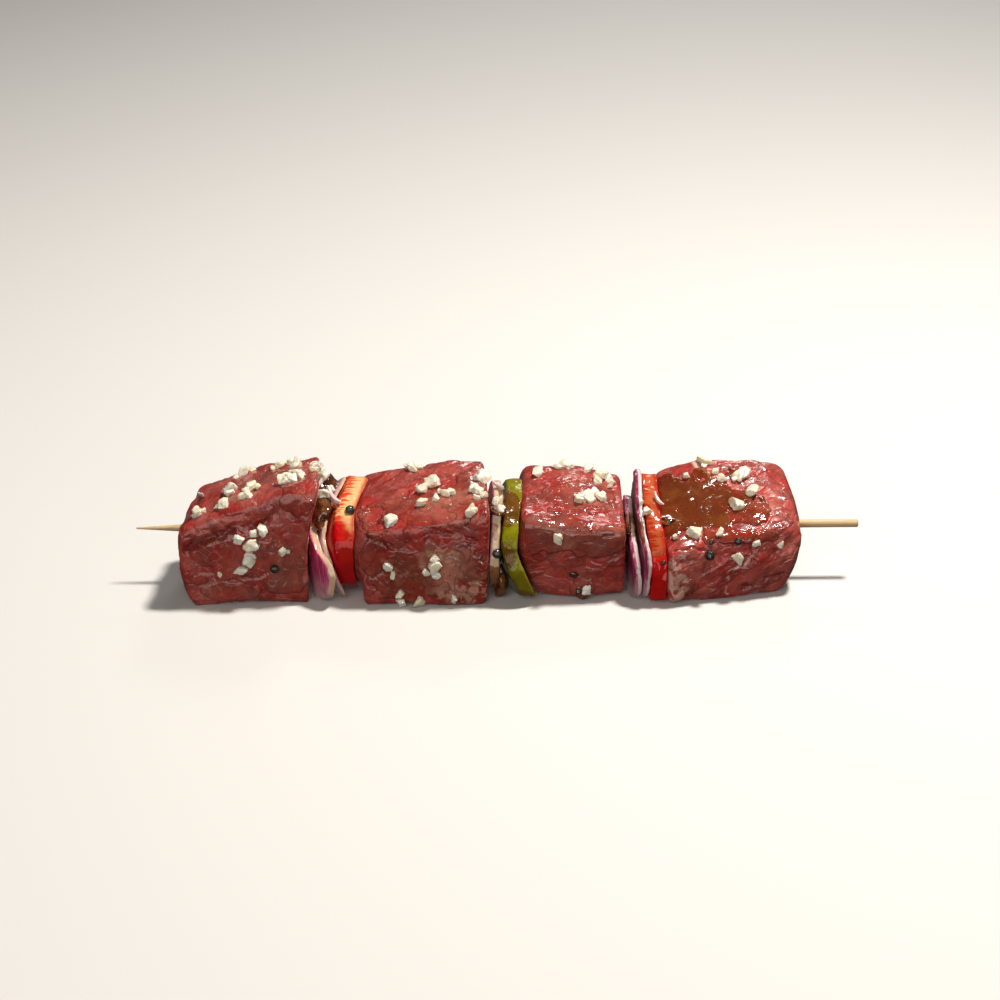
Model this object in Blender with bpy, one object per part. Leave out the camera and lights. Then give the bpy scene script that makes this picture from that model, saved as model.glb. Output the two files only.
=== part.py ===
"""Beef kebab: four cubes of raw beef with squares of onion and pepper on a bamboo stick.

Frame: metres, +Z up. The stick lies along X with its point at -X, the front of the
kebab faces -Y, and the undersides of the beef rest on z = 0. The origin is the middle
of the kebab's footprint. Dimensions below are in millimetres.

Every piece is threaded on the stick, so each one is the same kind of body: a grid that
starts at the rim of its hole, runs out over its left cut, round its outside, back over
its right cut and closes through the hole.
"""

from dataclasses import dataclass, replace

import bpy
import numpy as np

MM = 0.001

# Stick
STICK_LENGTH = 254.0
STICK_RADIUS = 1.5
STICK_HEIGHT = 19.5        # axis above the surface the kebab rests on
POINT_LENGTH = 19.0
POINT_RADIUS = 0.3
END_BEVEL = 0.4
STICK_SIDES = 12

# Fit between pieces
FIT_GAP = 0.35
HOLE_RADIUS = STICK_RADIUS + FIT_GAP

# Pieces bend most ahead of this line, where they stand clear of the beef
FLARE_START = -6.0

# The stick runs this far behind the middle of the footprint
STICK_BACK = 2.3

# The undersides sag by this much and press flat on the surface
SAG = 0.9

# Grid sizes: points round a piece, and rings over one cut face, one rim and half a side
BEEF_GRID = (34, 3, 3, 2)
SLICE_GRID = (26, 3, 1, 1)
CURVE_STEPS = 1440         # steps round the line that a cube's points are spaced along
CORNER_STEPS = 8           # steps round one corner of a slice's outline

# Roundness
BLOCK_POWER = 9.0          # how square a cube of beef is: 2 is round, and higher is squarer
SLICE_REACH = 18.0         # about how far a slice reaches from the stick
MAX_CORNER_SHARE = 0.45    # most of an edge that one corner's curve takes
MAX_RIM_SHARE = 0.7        # most of half a wall that a rim's rounding takes

# Unevenness of the beef
SWELL_WAVES = 9
SWELL_LENGTHS = (16.0, 40.0)
SWELL_SHARE = 0.45         # of a cube's unevenness, in each wave
CALM_REACH = 0.6           # the swell fades towards the hole inside this share of the radius


@dataclass(frozen=True)
class Bend:
    """How a cut face leans and bows away from the plane across the stick."""

    turn: float = 0.0      # mm of x for each mm towards the back
    lean: float = 0.0      # mm of x for each mm upwards
    bow: float = 0.0       # mm of x for each square mm away from the stick's height
    flare: float = 0.0     # mm of x for each square mm ahead of FLARE_START
    twist: float = 0.0     # mm of x for each mm ahead times each mm below the stick
    most: float = 99.0     # largest offset below the stick, in mm of x

    def offset(self, y, z):
        """x offset of the bent face at depth y and height z."""
        up = z - STICK_HEIGHT
        ahead = np.minimum(y - FLARE_START, 0.0)
        bent = (self.turn * y + self.lean * up + self.bow * up ** 2
                + self.flare * ahead ** 2 + self.twist * ahead * np.minimum(up, 0.0))
        return np.where(up < 0.0, np.minimum(bent, self.most), bent)


@dataclass(frozen=True)
class Beef:
    """A cube of beef. Pairs of sizes are for its left and right end."""

    left: float            # x of the left cut on the stick's axis
    right: float           # x of the right cut on the stick's axis
    front: tuple           # y of the front face
    back: tuple            # y of the back face
    top_front: tuple       # height of the top face along its front edge
    top_back: tuple        # height of the top face along its back edge
    left_bend: Bend = Bend()
    right_bend: Bend = Bend()
    foot_front: tuple = (0.0, 0.0)   # height of the underside along its front edge
    front_lean: float = 0.0          # mm of y for each mm upwards
    crown_front: float = 0.0         # extra height in the middle of the top's front edge
    crown_back: float = 0.0          # the same along the back edge
    rounding: tuple = (0.16, 0.14)   # share of the radius and of the length in a rim
    dome: tuple = (0.0, 0.0)         # how far the left and right cuts bulge outwards
    seed: int = 0
    unevenness: float = 0.45


@dataclass(frozen=True)
class Slice:
    """A square of onion or pepper, as an outline in (y, z) with a wall along x."""

    x: float               # middle of the wall on the stick's axis
    wall: float
    outline: tuple         # corners (y, z), clockwise seen from the left end
    bend: Bend
    corner_radius: float = 6.0
    edge_round: float = 0.7


PEPPER_1_BEND = Bend(lean=0.25, bow=0.022, flare=0.018, twist=0.016)
PEPPER_GREEN_BEND = Bend(lean=0.05, bow=0.009, flare=0.002, twist=0.016)
PEPPER_2_BEND = Bend(turn=-0.01, lean=0.01, flare=0.006)

BEEF = {
    "beef_1": Beef(
        left=-108.6, right=-67.0, front=(-22.5, -21.5), back=(19.0, 21.0),
        top_front=(28.0, 43.0), top_back=(29.0, 39.5), crown_front=2.5, crown_back=1.5,
        front_lean=0.06, left_bend=Bend(turn=0.1, bow=0.012),
        right_bend=Bend(lean=0.1, bow=0.006, flare=0.006),
        dome=(1.2, 0.0), seed=1),
    "beef_2": Beef(
        left=-54.1, right=-4.4, front=(-23.5, -24.0), back=(20.0, 21.5),
        top_front=(27.5, 34.0), top_back=(33.0, 38.0), crown_back=1.5, front_lean=0.06,
        left_bend=replace(PEPPER_1_BEND, most=7.0),
        right_bend=Bend(turn=-0.04, lean=0.03), seed=2),
    "beef_3": Beef(
        left=6.2, right=43.9, front=(-20.5, -20.0), back=(19.0, 19.0),
        top_front=(29.0, 25.5), top_back=(36.0, 31.0), foot_front=(1.0, 1.0),
        front_lean=-0.04, crown_back=3.5,
        left_bend=PEPPER_GREEN_BEND, right_bend=Bend(bow=-0.001), seed=3),
    "beef_4": Beef(
        left=56.5, right=104.0, front=(-26.0, -15.5), back=(20.0, 20.0),
        top_front=(19.0, 24.0), top_back=(34.0, 35.0), front_lean=0.05,
        crown_front=1.5, crown_back=4.0,
        left_bend=Bend(turn=-0.01, lean=0.01, flare=0.005), right_bend=Bend(bow=-0.013),
        dome=(0.0, 2.0), seed=4),
}

SLICES = {
    "onion_1_outer": Slice(
        x=-65.2, wall=2.6, bend=Bend(lean=0.1, bow=0.006, flare=0.0205),
        outline=((-27.0, 14.5), (-24.0, 0.3), (-6.0, 0.3), (15.0, 4.0), (19.0, 18.0),
                 (12.0, 30.0), (-6.0, 25.0))),
    "onion_1_inner": Slice(
        x=-62.6, wall=1.4, bend=Bend(lean=0.22, bow=0.021, flare=0.019, twist=0.0116),
        outline=((-22.5, 15.0), (-21.0, 0.5), (-6.0, 0.5), (13.0, 4.0), (17.0, 18.0),
                 (9.0, 37.0), (-4.0, 31.0))),
    "pepper_red_1": Slice(
        x=-57.9, wall=6.7, bend=PEPPER_1_BEND,
        outline=((-23.5, 22.5), (-18.0, 4.0), (-6.0, 1.0), (14.0, 3.0), (19.0, 18.0),
                 (12.0, 37.0), (-8.0, 31.0))),
    "onion_2": Slice(
        x=-2.1, wall=3.2, bend=Bend(turn=-0.03, lean=0.06, bow=0.003),
        outline=((-23.0, 17.0), (-20.0, 5.0), (-4.0, 1.0), (13.0, 3.0), (18.0, 18.0),
                 (8.0, 35.0), (-13.0, 36.5))),
    "pepper_green": Slice(
        x=2.95, wall=5.4, bend=PEPPER_GREEN_BEND,
        outline=((-22.0, 26.0), (-26.0, 12.0), (-24.5, 2.0), (-6.0, 0.5), (14.0, 3.0),
                 (18.0, 18.0), (10.0, 35.0), (-10.0, 34.0))),
    "onion_3_outer": Slice(
        x=45.75, wall=2.5, bend=Bend(flare=0.005, twist=0.002),
        outline=((-23.5, 17.0), (-26.0, 9.0), (-23.5, 0.5), (-6.0, 0.5), (12.0, 3.0),
                 (16.0, 18.0), (8.0, 29.0), (-9.0, 25.5))),
    "onion_3_inner": Slice(
        x=48.6, wall=2.1, bend=Bend(lean=0.01, bow=0.001, flare=0.007),
        outline=((-27.5, 18.5), (-23.5, 0.3), (-6.0, 0.5), (12.0, 3.0), (17.0, 18.0),
                 (7.0, 40.0), (-4.0, 35.0))),
    "pepper_red_2": Slice(
        x=53.1, wall=5.4, bend=PEPPER_2_BEND,
        outline=((-23.0, 21.0), (-26.5, 10.0), (-25.0, 0.0), (-6.0, 0.5), (12.0, 3.0),
                 (17.0, 18.0), (9.0, 37.0), (-6.0, 33.0))),
}

COLOURS = {                # linear base colour and roughness
    "skewer": ((0.72, 0.52, 0.28), 0.6),
    "beef": ((0.28, 0.045, 0.035), 0.35),
    "onion": ((0.55, 0.22, 0.38), 0.35),
    "pepper_red": ((0.55, 0.025, 0.015), 0.3),
    "pepper_green": ((0.12, 0.2, 0.015), 0.3),
}


def rounded_profile(round_reach, round_station, rings):
    """Station (-1 left cut, 1 right cut) and reach (0 hole, 1 outside) of every ring."""
    face, rim, side = rings
    over = np.linspace(0.0, 1.0 - round_reach, face, endpoint=False)
    turn = np.linspace(0.0, np.pi / 2, rim, endpoint=False)
    along = np.linspace(-1.0 + round_station, 0.0, side, endpoint=False)
    station = np.concatenate(
        [-np.ones(face), -1.0 + round_station * (1.0 - np.cos(turn)), along])
    reach = np.concatenate([over, 1.0 - round_reach * (1.0 - np.sin(turn)), np.ones(side)])
    return (np.concatenate([station, [0.0], -station[::-1]])[:, None],
            np.concatenate([reach, [1.0], reach[::-1]])[:, None])


def spaced_evenly(a, b, count):
    """Points at equal steps along the closed line through a, b."""
    length = np.concatenate([[0.0], np.cumsum(np.hypot(np.diff(a), np.diff(b)))])
    where = np.linspace(0.0, length[-1], count, endpoint=False)
    return np.interp(where, length, a)[None, :], np.interp(where, length, b)[None, :]


def squircle(count):
    """The line |a|^p + |b|^p = 1, with p = BLOCK_POWER: a square with its corners rounded."""
    angle = np.linspace(0.0, 2.0 * np.pi, CURVE_STEPS + 1)
    total = np.abs(np.cos(angle)) ** BLOCK_POWER + np.abs(np.sin(angle)) ** BLOCK_POWER
    radius = total ** (-1 / BLOCK_POWER)
    return spaced_evenly(radius * np.cos(angle), radius * np.sin(angle), count)


def rounded_outline(corners, radius, count):
    """A polygon with each corner replaced by a curve that starts radius away from it."""
    corners = np.array(corners)
    before, after = np.roll(corners, 1, axis=0), np.roll(corners, -1, axis=0)
    blend = np.linspace(0.0, 1.0, CORNER_STEPS + 1)[None, :, None]

    def cut(neighbour):
        edge = neighbour - corners
        length = np.linalg.norm(edge, axis=1, keepdims=True)
        return (corners + edge * np.minimum(radius / length, MAX_CORNER_SHARE))[:, None, :]

    curve = ((1 - blend) ** 2 * cut(before) + 2 * blend * (1 - blend) * corners[:, None, :]
             + blend ** 2 * cut(after)).reshape(-1, 2)
    curve = np.vstack([curve, curve[:1]])
    return spaced_evenly(curve[:, 0], curve[:, 1], count)


def threaded(y, z, reach):
    """Pull the outside y, z in towards the rim of the hole as reach falls to 0."""
    angle = np.arctan2(z - STICK_HEIGHT, y)
    rim_y = HOLE_RADIUS * np.cos(angle)
    rim_z = STICK_HEIGHT + HOLE_RADIUS * np.sin(angle)
    return rim_y + reach * (y - rim_y), rim_z + reach * (z - rim_z)


def uneven(points, seed, amount):
    """A slow swell through space, as the sum of a few waves in seeded directions."""
    rng = np.random.default_rng(seed)
    swell = np.zeros_like(points)
    for _ in range(SWELL_WAVES):
        direction = rng.normal(size=3)
        direction /= np.linalg.norm(direction)
        wave = np.sin(points @ direction * 2.0 * np.pi / rng.uniform(*SWELL_LENGTHS)
                      + rng.uniform(0.0, 2.0 * np.pi))
        swell += wave[..., None] * rng.normal(size=3)
    return amount * SWELL_SHARE * swell


def beef_points(beef, grid=BEEF_GRID):
    """Grid of points over a cube of beef: a bent box with rounded edges."""
    count, *rings = grid
    station, reach = rounded_profile(*beef.rounding, rings)
    a, b = squircle(count)
    along, deep, high = (station + 1) / 2, (a + 1) / 2, (b + 1) / 2
    middle = 1.0 - station ** 2

    def ends(pair):
        return pair[0] * (1 - along) + pair[1] * along

    z_front = (ends(beef.foot_front) * (1 - high)
               + (ends(beef.top_front) + beef.crown_front * middle) * high)
    z_back = (ends(beef.top_back) + beef.crown_back * middle) * high
    z = z_front * (1 - deep) + z_back * deep - SAG * (1 - high)
    y_front = ends(beef.front) + beef.front_lean * (z - STICK_HEIGHT)
    y = y_front * (1 - deep) + ends(beef.back) * deep
    y, z = threaded(y, z, reach)
    left = beef.left + beef.left_bend.offset(y, z) - beef.dome[0] * (1 - reach ** 2)
    right = beef.right + beef.right_bend.offset(y, z) + beef.dome[1] * (1 - reach ** 2)
    points = np.stack([left * (1 - along) + right * along, y, z], axis=-1)
    fade = np.clip(reach / CALM_REACH, 0.0, 1.0)[..., None] ** 2
    cut_fade = np.stack(np.broadcast_arrays(middle, 1.0, 1.0), axis=-1)
    points += uneven(points, beef.seed, beef.unevenness) * fade * cut_fade
    points[..., 2] = np.maximum(points[..., 2], 0.0)
    return points


def slice_points(piece, grid=SLICE_GRID):
    """Grid of points over a square of onion or pepper: a bent wall with round edges."""
    count, *rings = grid
    y, z = rounded_outline(piece.outline, piece.corner_radius, count)
    round_station = min(2.0 * piece.edge_round / piece.wall, MAX_RIM_SHARE)
    station, reach = rounded_profile(piece.edge_round / SLICE_REACH, round_station, rings)
    y, z = threaded(y, z, reach)
    x = piece.x + piece.bend.offset(y, z) + station * piece.wall / 2
    return np.stack(np.broadcast_arrays(x, y, np.maximum(z, 0.0)), axis=-1)


def ring_faces(rings, count):
    """Quads of a grid that closes both ways, like a doughnut's."""
    i, j = np.meshgrid(np.arange(rings), np.arange(count), indexing="ij")
    i_next, j_next = (i + 1) % rings, (j + 1) % count
    return np.stack([i * count + j, i * count + j_next,
                     i_next * count + j_next, i_next * count + j], axis=-1).reshape(-1, 4)


# Blender objects

def material(name):
    """The Principled material of a kind of piece, made on first use."""
    kind = next(kind for kind in COLOURS if name.startswith(kind))
    if kind in bpy.data.materials:
        return bpy.data.materials[kind]
    colour, roughness = COLOURS[kind]
    made = bpy.data.materials.new(kind)
    made.use_nodes = True
    shader = made.node_tree.nodes["Principled BSDF"]
    shader.inputs["Base Color"].default_value = (*colour, 1.0)
    shader.inputs["Roughness"].default_value = roughness
    shader.inputs["Metallic"].default_value = 0.0
    return made


def add_object(name, points, faces):
    """One object in the scene from points in millimetres about the stick and its faces."""
    placed = (points.reshape(-1, 3) + (0.0, STICK_BACK, 0.0)) * MM
    mesh = bpy.data.meshes.new(name)
    mesh.from_pydata(placed.tolist(), [], faces)
    mesh.shade_smooth()
    mesh.materials.append(material(name))
    made = bpy.data.objects.new(name, mesh)
    bpy.context.scene.collection.objects.link(made)
    return made


def add_threaded(name, points):
    """A piece with a hole for the stick."""
    return add_object(name, points, ring_faces(*points.shape[:2]).tolist())


def add_stick():
    """The bamboo stick: a rod with a long point at its left end."""
    half = STICK_LENGTH / 2
    profile = np.array([(-half, POINT_RADIUS), (-half + POINT_LENGTH, STICK_RADIUS),
                        (half - END_BEVEL, STICK_RADIUS), (half, STICK_RADIUS - END_BEVEL)])
    angle = np.linspace(0.0, 2.0 * np.pi, STICK_SIDES, endpoint=False)[None, :]
    x, radius = profile[:, :1], profile[:, 1:]
    points = np.stack(np.broadcast_arrays(
        x, radius * np.cos(angle), STICK_HEIGHT + radius * np.sin(angle)), axis=-1)
    last = (len(profile) - 1) * STICK_SIDES
    ends = [list(range(STICK_SIDES))[::-1], list(range(last, last + STICK_SIDES))]
    walls = ring_faces(len(profile), STICK_SIDES)[:last].tolist()
    return add_object("skewer", points, walls + ends)


def main():
    """Clear the scene and build the kebab."""
    for old in list(bpy.data.objects):
        bpy.data.objects.remove(old, do_unlink=True)
    add_stick()
    for name, beef in BEEF.items():
        add_threaded(name, beef_points(beef))
    for name, piece in SLICES.items():
        add_threaded(name, slice_points(piece))


main()
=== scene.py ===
"""A raw beef kebab: marinated cubes, red onion and bell pepper on a bamboo stick.

Every piece on the stick is a closed grid that runs from the rim of its hole over one cut
face, round its outside and back over the other cut face. Shapes are worked out in
millimetres about the stick's own axis and are turned into metres as they become objects.
"""

import logging
import math
from dataclasses import dataclass, replace
from enum import Enum
from itertools import product
from typing import Dict, Optional, Sequence, Tuple, Union

import bmesh
import bpy
import numpy as np
from mathutils import Matrix, Vector

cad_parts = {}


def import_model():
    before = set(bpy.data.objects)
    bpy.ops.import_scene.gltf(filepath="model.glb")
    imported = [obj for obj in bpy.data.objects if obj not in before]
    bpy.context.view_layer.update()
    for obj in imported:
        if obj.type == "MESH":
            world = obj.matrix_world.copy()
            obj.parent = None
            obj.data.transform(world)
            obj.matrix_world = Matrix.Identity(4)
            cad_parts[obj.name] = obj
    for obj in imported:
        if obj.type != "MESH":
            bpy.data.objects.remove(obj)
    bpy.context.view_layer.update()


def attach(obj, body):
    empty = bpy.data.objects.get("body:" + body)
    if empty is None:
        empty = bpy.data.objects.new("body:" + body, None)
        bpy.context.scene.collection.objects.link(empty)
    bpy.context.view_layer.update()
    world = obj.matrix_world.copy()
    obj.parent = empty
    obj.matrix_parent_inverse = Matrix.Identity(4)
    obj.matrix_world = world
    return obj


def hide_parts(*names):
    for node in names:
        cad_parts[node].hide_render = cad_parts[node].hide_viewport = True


LOG = logging.getLogger("kebab")
MM = 0.001

# Sizes shared by the pieces, in millimetres.
STICK_HEIGHT = 19.5  # of the stick's axis above the floor
STICK_BACK = 2.3  # of the axis behind the frame's middle
HOLE_RADIUS = 1.85
FLARE_START = -6.0  # depth ahead of which cut faces flare
# The marinade beside each slice is a thin dark sheet: partly marinade and partly painted shade in
# the gap.
SAG = 0.9  # of the beef's underside below the floor, before it is cut flat
JUICE_OFFSET = 0.175  # from a slice's face to the middle of the marinade beside it
JUICE_WALL = 0.3
JUICE_SHARE = 0.55  # how much of the slice's height and depth it covers

# Points round a piece, then rings on a cut face, on a rim and on half the side.
BEEF_GRID = (420, 40, 24, 50)
SLICE_GRID = (300, 14, 10, 8)
JUICE_GRID = (90, 5, 3, 2)

# How fine the balls are that bits and pools start from, and how fine all grids are.
BIT_SUBDIVISIONS = 4
DROP_SUBDIVISIONS = 5
DETAIL = 1.0

Pair = Tuple[float, float]
Triple = Tuple[float, float, float]
Colour = Tuple[float, float, float]
Arrays = Tuple[np.ndarray, np.ndarray]
Socket = bpy.types.NodeSocket
Number = Union[Socket, float]
Tint = Union[Socket, Colour]


# ---------------------------------------------------------------- noise

def lattice(cell: np.ndarray, seed: int) -> np.ndarray:
    """Random number for each whole-numbered place, by mixing its digits.

    Args:
        cell: whole-numbered places, shape (..., 3).
        seed: which random field.

    Returns:
        Numbers from 0 to 1, shape (...).
    """
    mixed = cell @ np.array([73856093, 19349663, 83492791]) + seed * 2654435761
    mixed = (mixed ^ (mixed >> 13)) * 1274126177
    mixed = (mixed ^ (mixed >> 16)) * 73244475
    return ((mixed >> 8) & 0xFFFFFF) / float(0x1000000)


def noise(points: np.ndarray, seed: int) -> np.ndarray:
    """Smooth value noise: lattice numbers blended across each unit cell.

    Args:
        points: places, shape (..., 3), in cells.
        seed: which random field.

    Returns:
        Values from -1 to 1, shape (...).
    """
    base = np.floor(points).astype(np.int64)
    blend = points - base
    blend = blend * blend * (3.0 - 2.0 * blend)
    total = np.zeros(points.shape[:-1])
    for corner in product((0, 1), repeat=3):
        weight = np.prod(np.where(np.array(corner), blend, 1.0 - blend), axis=-1)
        total += weight * lattice(base + np.array(corner), seed)
    return 2.0 * total - 1.0


def fractal(points: np.ndarray, seed: int, octaves: int = 3) -> np.ndarray:
    """Octaves of noise, each twice as fine and half as strong as the one before."""
    return sum(noise(points * 2.0 ** k, seed + k) / 2.0 ** k for k in range(octaves))


def cells(points: np.ndarray, seed: int) -> Arrays:
    """Cell pattern: each point belongs to the nearest of randomly placed sites.

    Args:
        points: places, shape (..., 3), in cells.
        seed: which random field.

    Returns:
        How far inside its cell a point is (0 on a wall), and the cell's own random number.
    """
    base = np.floor(points).astype(np.int64)
    nearest = np.full(points.shape[:-1], 9.0)
    second = nearest.copy()
    tone = np.zeros(points.shape[:-1])
    for step in product((-1, 0, 1), repeat=3):
        cell = base + np.array(step)
        site = cell + np.stack([lattice(cell, seed + k) for k in range(3)], axis=-1)
        distance = np.linalg.norm(points - site, axis=-1)
        closer = distance < nearest
        second = np.where(closer, nearest, np.minimum(second, distance))
        tone = np.where(closer, lattice(cell, seed + 5), tone)
        nearest = np.minimum(nearest, distance)
    return second - nearest, tone


def ease(low: float, high: float, value: np.ndarray) -> np.ndarray:
    """Smooth step from 0 at low to 1 at high."""
    share = np.clip((value - low) / (high - low), 0.0, 1.0)
    return share * share * (3.0 - 2.0 * share)


# ---------------------------------------------------------------- threaded shapes

@dataclass(frozen=True)
class Bend:
    """How a cut face leans and bows away from the plane across the stick.

    turn and lean are mm of x for each mm back and up, bow is for each square mm above or
    below the stick, flare for each square mm ahead of FLARE_START, and twist for each mm
    ahead times each mm below the stick. most is the largest offset below the stick.
    """

    turn: float = 0.0
    lean: float = 0.0
    bow: float = 0.0
    flare: float = 0.0
    twist: float = 0.0
    most: float = 99.0

    def offset(self, y: np.ndarray, z: np.ndarray) -> np.ndarray:
        """x offset of the bent face at depth y and height z."""
        up = z - STICK_HEIGHT
        ahead = np.minimum(y - FLARE_START, 0.0)
        bent = (self.turn * y + self.lean * up + self.bow * up ** 2
                + self.flare * ahead ** 2 + self.twist * ahead * np.minimum(up, 0.0))
        return np.where(up < 0.0, np.minimum(bent, self.most), bent)


def rounded_profile(round_reach: float, round_station: float, rings: Sequence[int]) -> Arrays:
    """Rings of a threaded piece: over the left cut, a quarter round, and half the side.

    Args:
        round_reach: share of the radius that a rim's rounding takes.
        round_station: share of the half length that it takes.
        rings: rings on a cut face, on a rim and on half the side.

    Returns:
        Station (-1 left cut, 1 right cut) and reach (0 hole, 1 outside), as columns.
    """
    face, rim, side = rings
    over = np.linspace(0.0, 1.0 - round_reach, face, endpoint=False)
    turn = np.linspace(0.0, np.pi / 2, rim, endpoint=False)
    along = np.linspace(-1.0 + round_station, 0.0, side, endpoint=False)
    station = np.concatenate(
        [-np.ones(face), -1.0 + round_station * (1.0 - np.cos(turn)), along])
    reach = np.concatenate([over, 1.0 - round_reach * (1.0 - np.sin(turn)), np.ones(side)])
    return (np.concatenate([station, [0.0], -station[::-1]])[:, None],
            np.concatenate([reach, [1.0], reach[::-1]])[:, None])


def spaced_evenly(a: np.ndarray, b: np.ndarray, count: int) -> Arrays:
    """Points at equal steps along the closed line through a, b, as rows."""
    length = np.concatenate([[0.0], np.cumsum(np.hypot(np.diff(a), np.diff(b)))])
    where = np.linspace(0.0, length[-1], count, endpoint=False)
    return np.interp(where, length, a)[None, :], np.interp(where, length, b)[None, :]


def squircle(count: int, power: float = 9.0) -> Arrays:
    """The line |a|^power + |b|^power = 1: a square with its corners rounded."""
    angle = np.linspace(0.0, 2.0 * np.pi, 7201)
    radius = (np.abs(np.cos(angle)) ** power + np.abs(np.sin(angle)) ** power) ** (-1 / power)
    return spaced_evenly(radius * np.cos(angle), radius * np.sin(angle), count)


def rounded_outline(corners: Sequence[Pair], radius: float, count: int) -> Arrays:
    """A polygon with each corner replaced by a curve that starts radius away from it."""
    corners = np.array(corners)
    before, after = np.roll(corners, 1, axis=0), np.roll(corners, -1, axis=0)
    blend = np.linspace(0.0, 1.0, 17)[None, :, None]

    def cut(neighbour: np.ndarray) -> np.ndarray:
        """Where the curve leaves the edge towards a neighbouring corner."""
        edge = neighbour - corners
        length = np.linalg.norm(edge, axis=1, keepdims=True)
        return (corners + edge * np.minimum(radius / length, 0.45))[:, None, :]

    curve = ((1 - blend) ** 2 * cut(before) + 2 * blend * (1 - blend) * corners[:, None, :]
             + blend ** 2 * cut(after)).reshape(-1, 2)
    curve = np.vstack([curve, curve[:1]])
    return spaced_evenly(curve[:, 0], curve[:, 1], count)


def threaded(y: np.ndarray, z: np.ndarray, reach: np.ndarray) -> Arrays:
    """Pull the outside y, z in towards the rim of the hole as reach falls to 0."""
    angle = np.arctan2(z - STICK_HEIGHT, y)
    rim_y = HOLE_RADIUS * np.cos(angle)
    rim_z = STICK_HEIGHT + HOLE_RADIUS * np.sin(angle)
    return rim_y + reach * (y - rim_y), rim_z + reach * (z - rim_z)


def uneven(points: np.ndarray, seed: int, amount: float, waves: int = 9,
           lengths: Pair = (16.0, 40.0)) -> np.ndarray:
    """A slow swell through space, as the sum of waves in seeded directions.

    Args:
        points: places in millimetres, shape (..., 3).
        seed: which random waves.
        amount: the swell's usual size.
        waves: how many waves there are.
        lengths: shortest and longest wave.

    Returns:
        The shift of each point.
    """
    rng = np.random.default_rng(seed)
    swell = np.zeros_like(points)
    for _ in range(waves):
        direction = rng.normal(size=3)
        direction /= np.linalg.norm(direction)
        wave = np.sin(points @ direction * 2.0 * np.pi / rng.uniform(*lengths)
                      + rng.uniform(0.0, 2.0 * np.pi))
        swell += wave[..., None] * rng.normal(size=3)
    return amount * 0.45 * swell


def ring_faces(rings: int, count: int) -> np.ndarray:
    """Quads of a grid that closes both ways, like a doughnut's."""
    i, j = np.meshgrid(np.arange(rings), np.arange(count), indexing="ij")
    i_next, j_next = (i + 1) % rings, (j + 1) % count
    return np.stack([i * count + j, i * count + j_next,
                     i_next * count + j_next, i_next * count + j], axis=-1).reshape(-1, 4)


def grid_normals(points: np.ndarray) -> np.ndarray:
    """Outward normals of a doughnut grid, from the steps along its rows and columns."""
    down = np.roll(points, -1, axis=0) - np.roll(points, 1, axis=0)
    across = np.roll(points, -1, axis=1) - np.roll(points, 1, axis=1)
    normal = np.cross(across, down)
    return normal / np.maximum(np.linalg.norm(normal, axis=-1, keepdims=True), 1e-9)


# ---------------------------------------------------------------- objects

def add_piece(name: str, points: np.ndarray, faces: np.ndarray,
              attributes: Dict[str, np.ndarray], material: bpy.types.Material) -> bpy.types.Object:
    """One piece in the scene, riding on the kebab's only body.

    Args:
        name: the piece's name.
        points: places in millimetres about the stick, shape (..., 3).
        faces: vertex numbers of its quads.
        attributes: numbers at each point for its material.
        material: its finish.

    Returns:
        The new object.
    """
    placed = (points.reshape(-1, 3) + (0.0, STICK_BACK, 0.0)) * MM
    mesh = bpy.data.meshes.new(name)
    mesh.vertices.add(len(placed))
    mesh.vertices.foreach_set("co", placed.ravel())
    mesh.loops.add(faces.size)
    mesh.loops.foreach_set("vertex_index", faces.ravel())
    mesh.polygons.add(len(faces))
    mesh.polygons.foreach_set("loop_start", np.arange(0, faces.size, faces.shape[1]))
    mesh.update(calc_edges=True)
    for key, values in attributes.items():
        layer = mesh.attributes.new(key, "FLOAT", "POINT")
        layer.data.foreach_set("value", np.array(values, np.float32).ravel())
    mesh.shade_smooth()
    mesh.materials.append(material)
    made = bpy.data.objects.new(name, mesh)
    bpy.context.scene.collection.objects.link(made)
    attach(made, "root")
    LOG.info("%s: %d faces", name, len(faces))
    return made


# ---------------------------------------------------------------- materials

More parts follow.
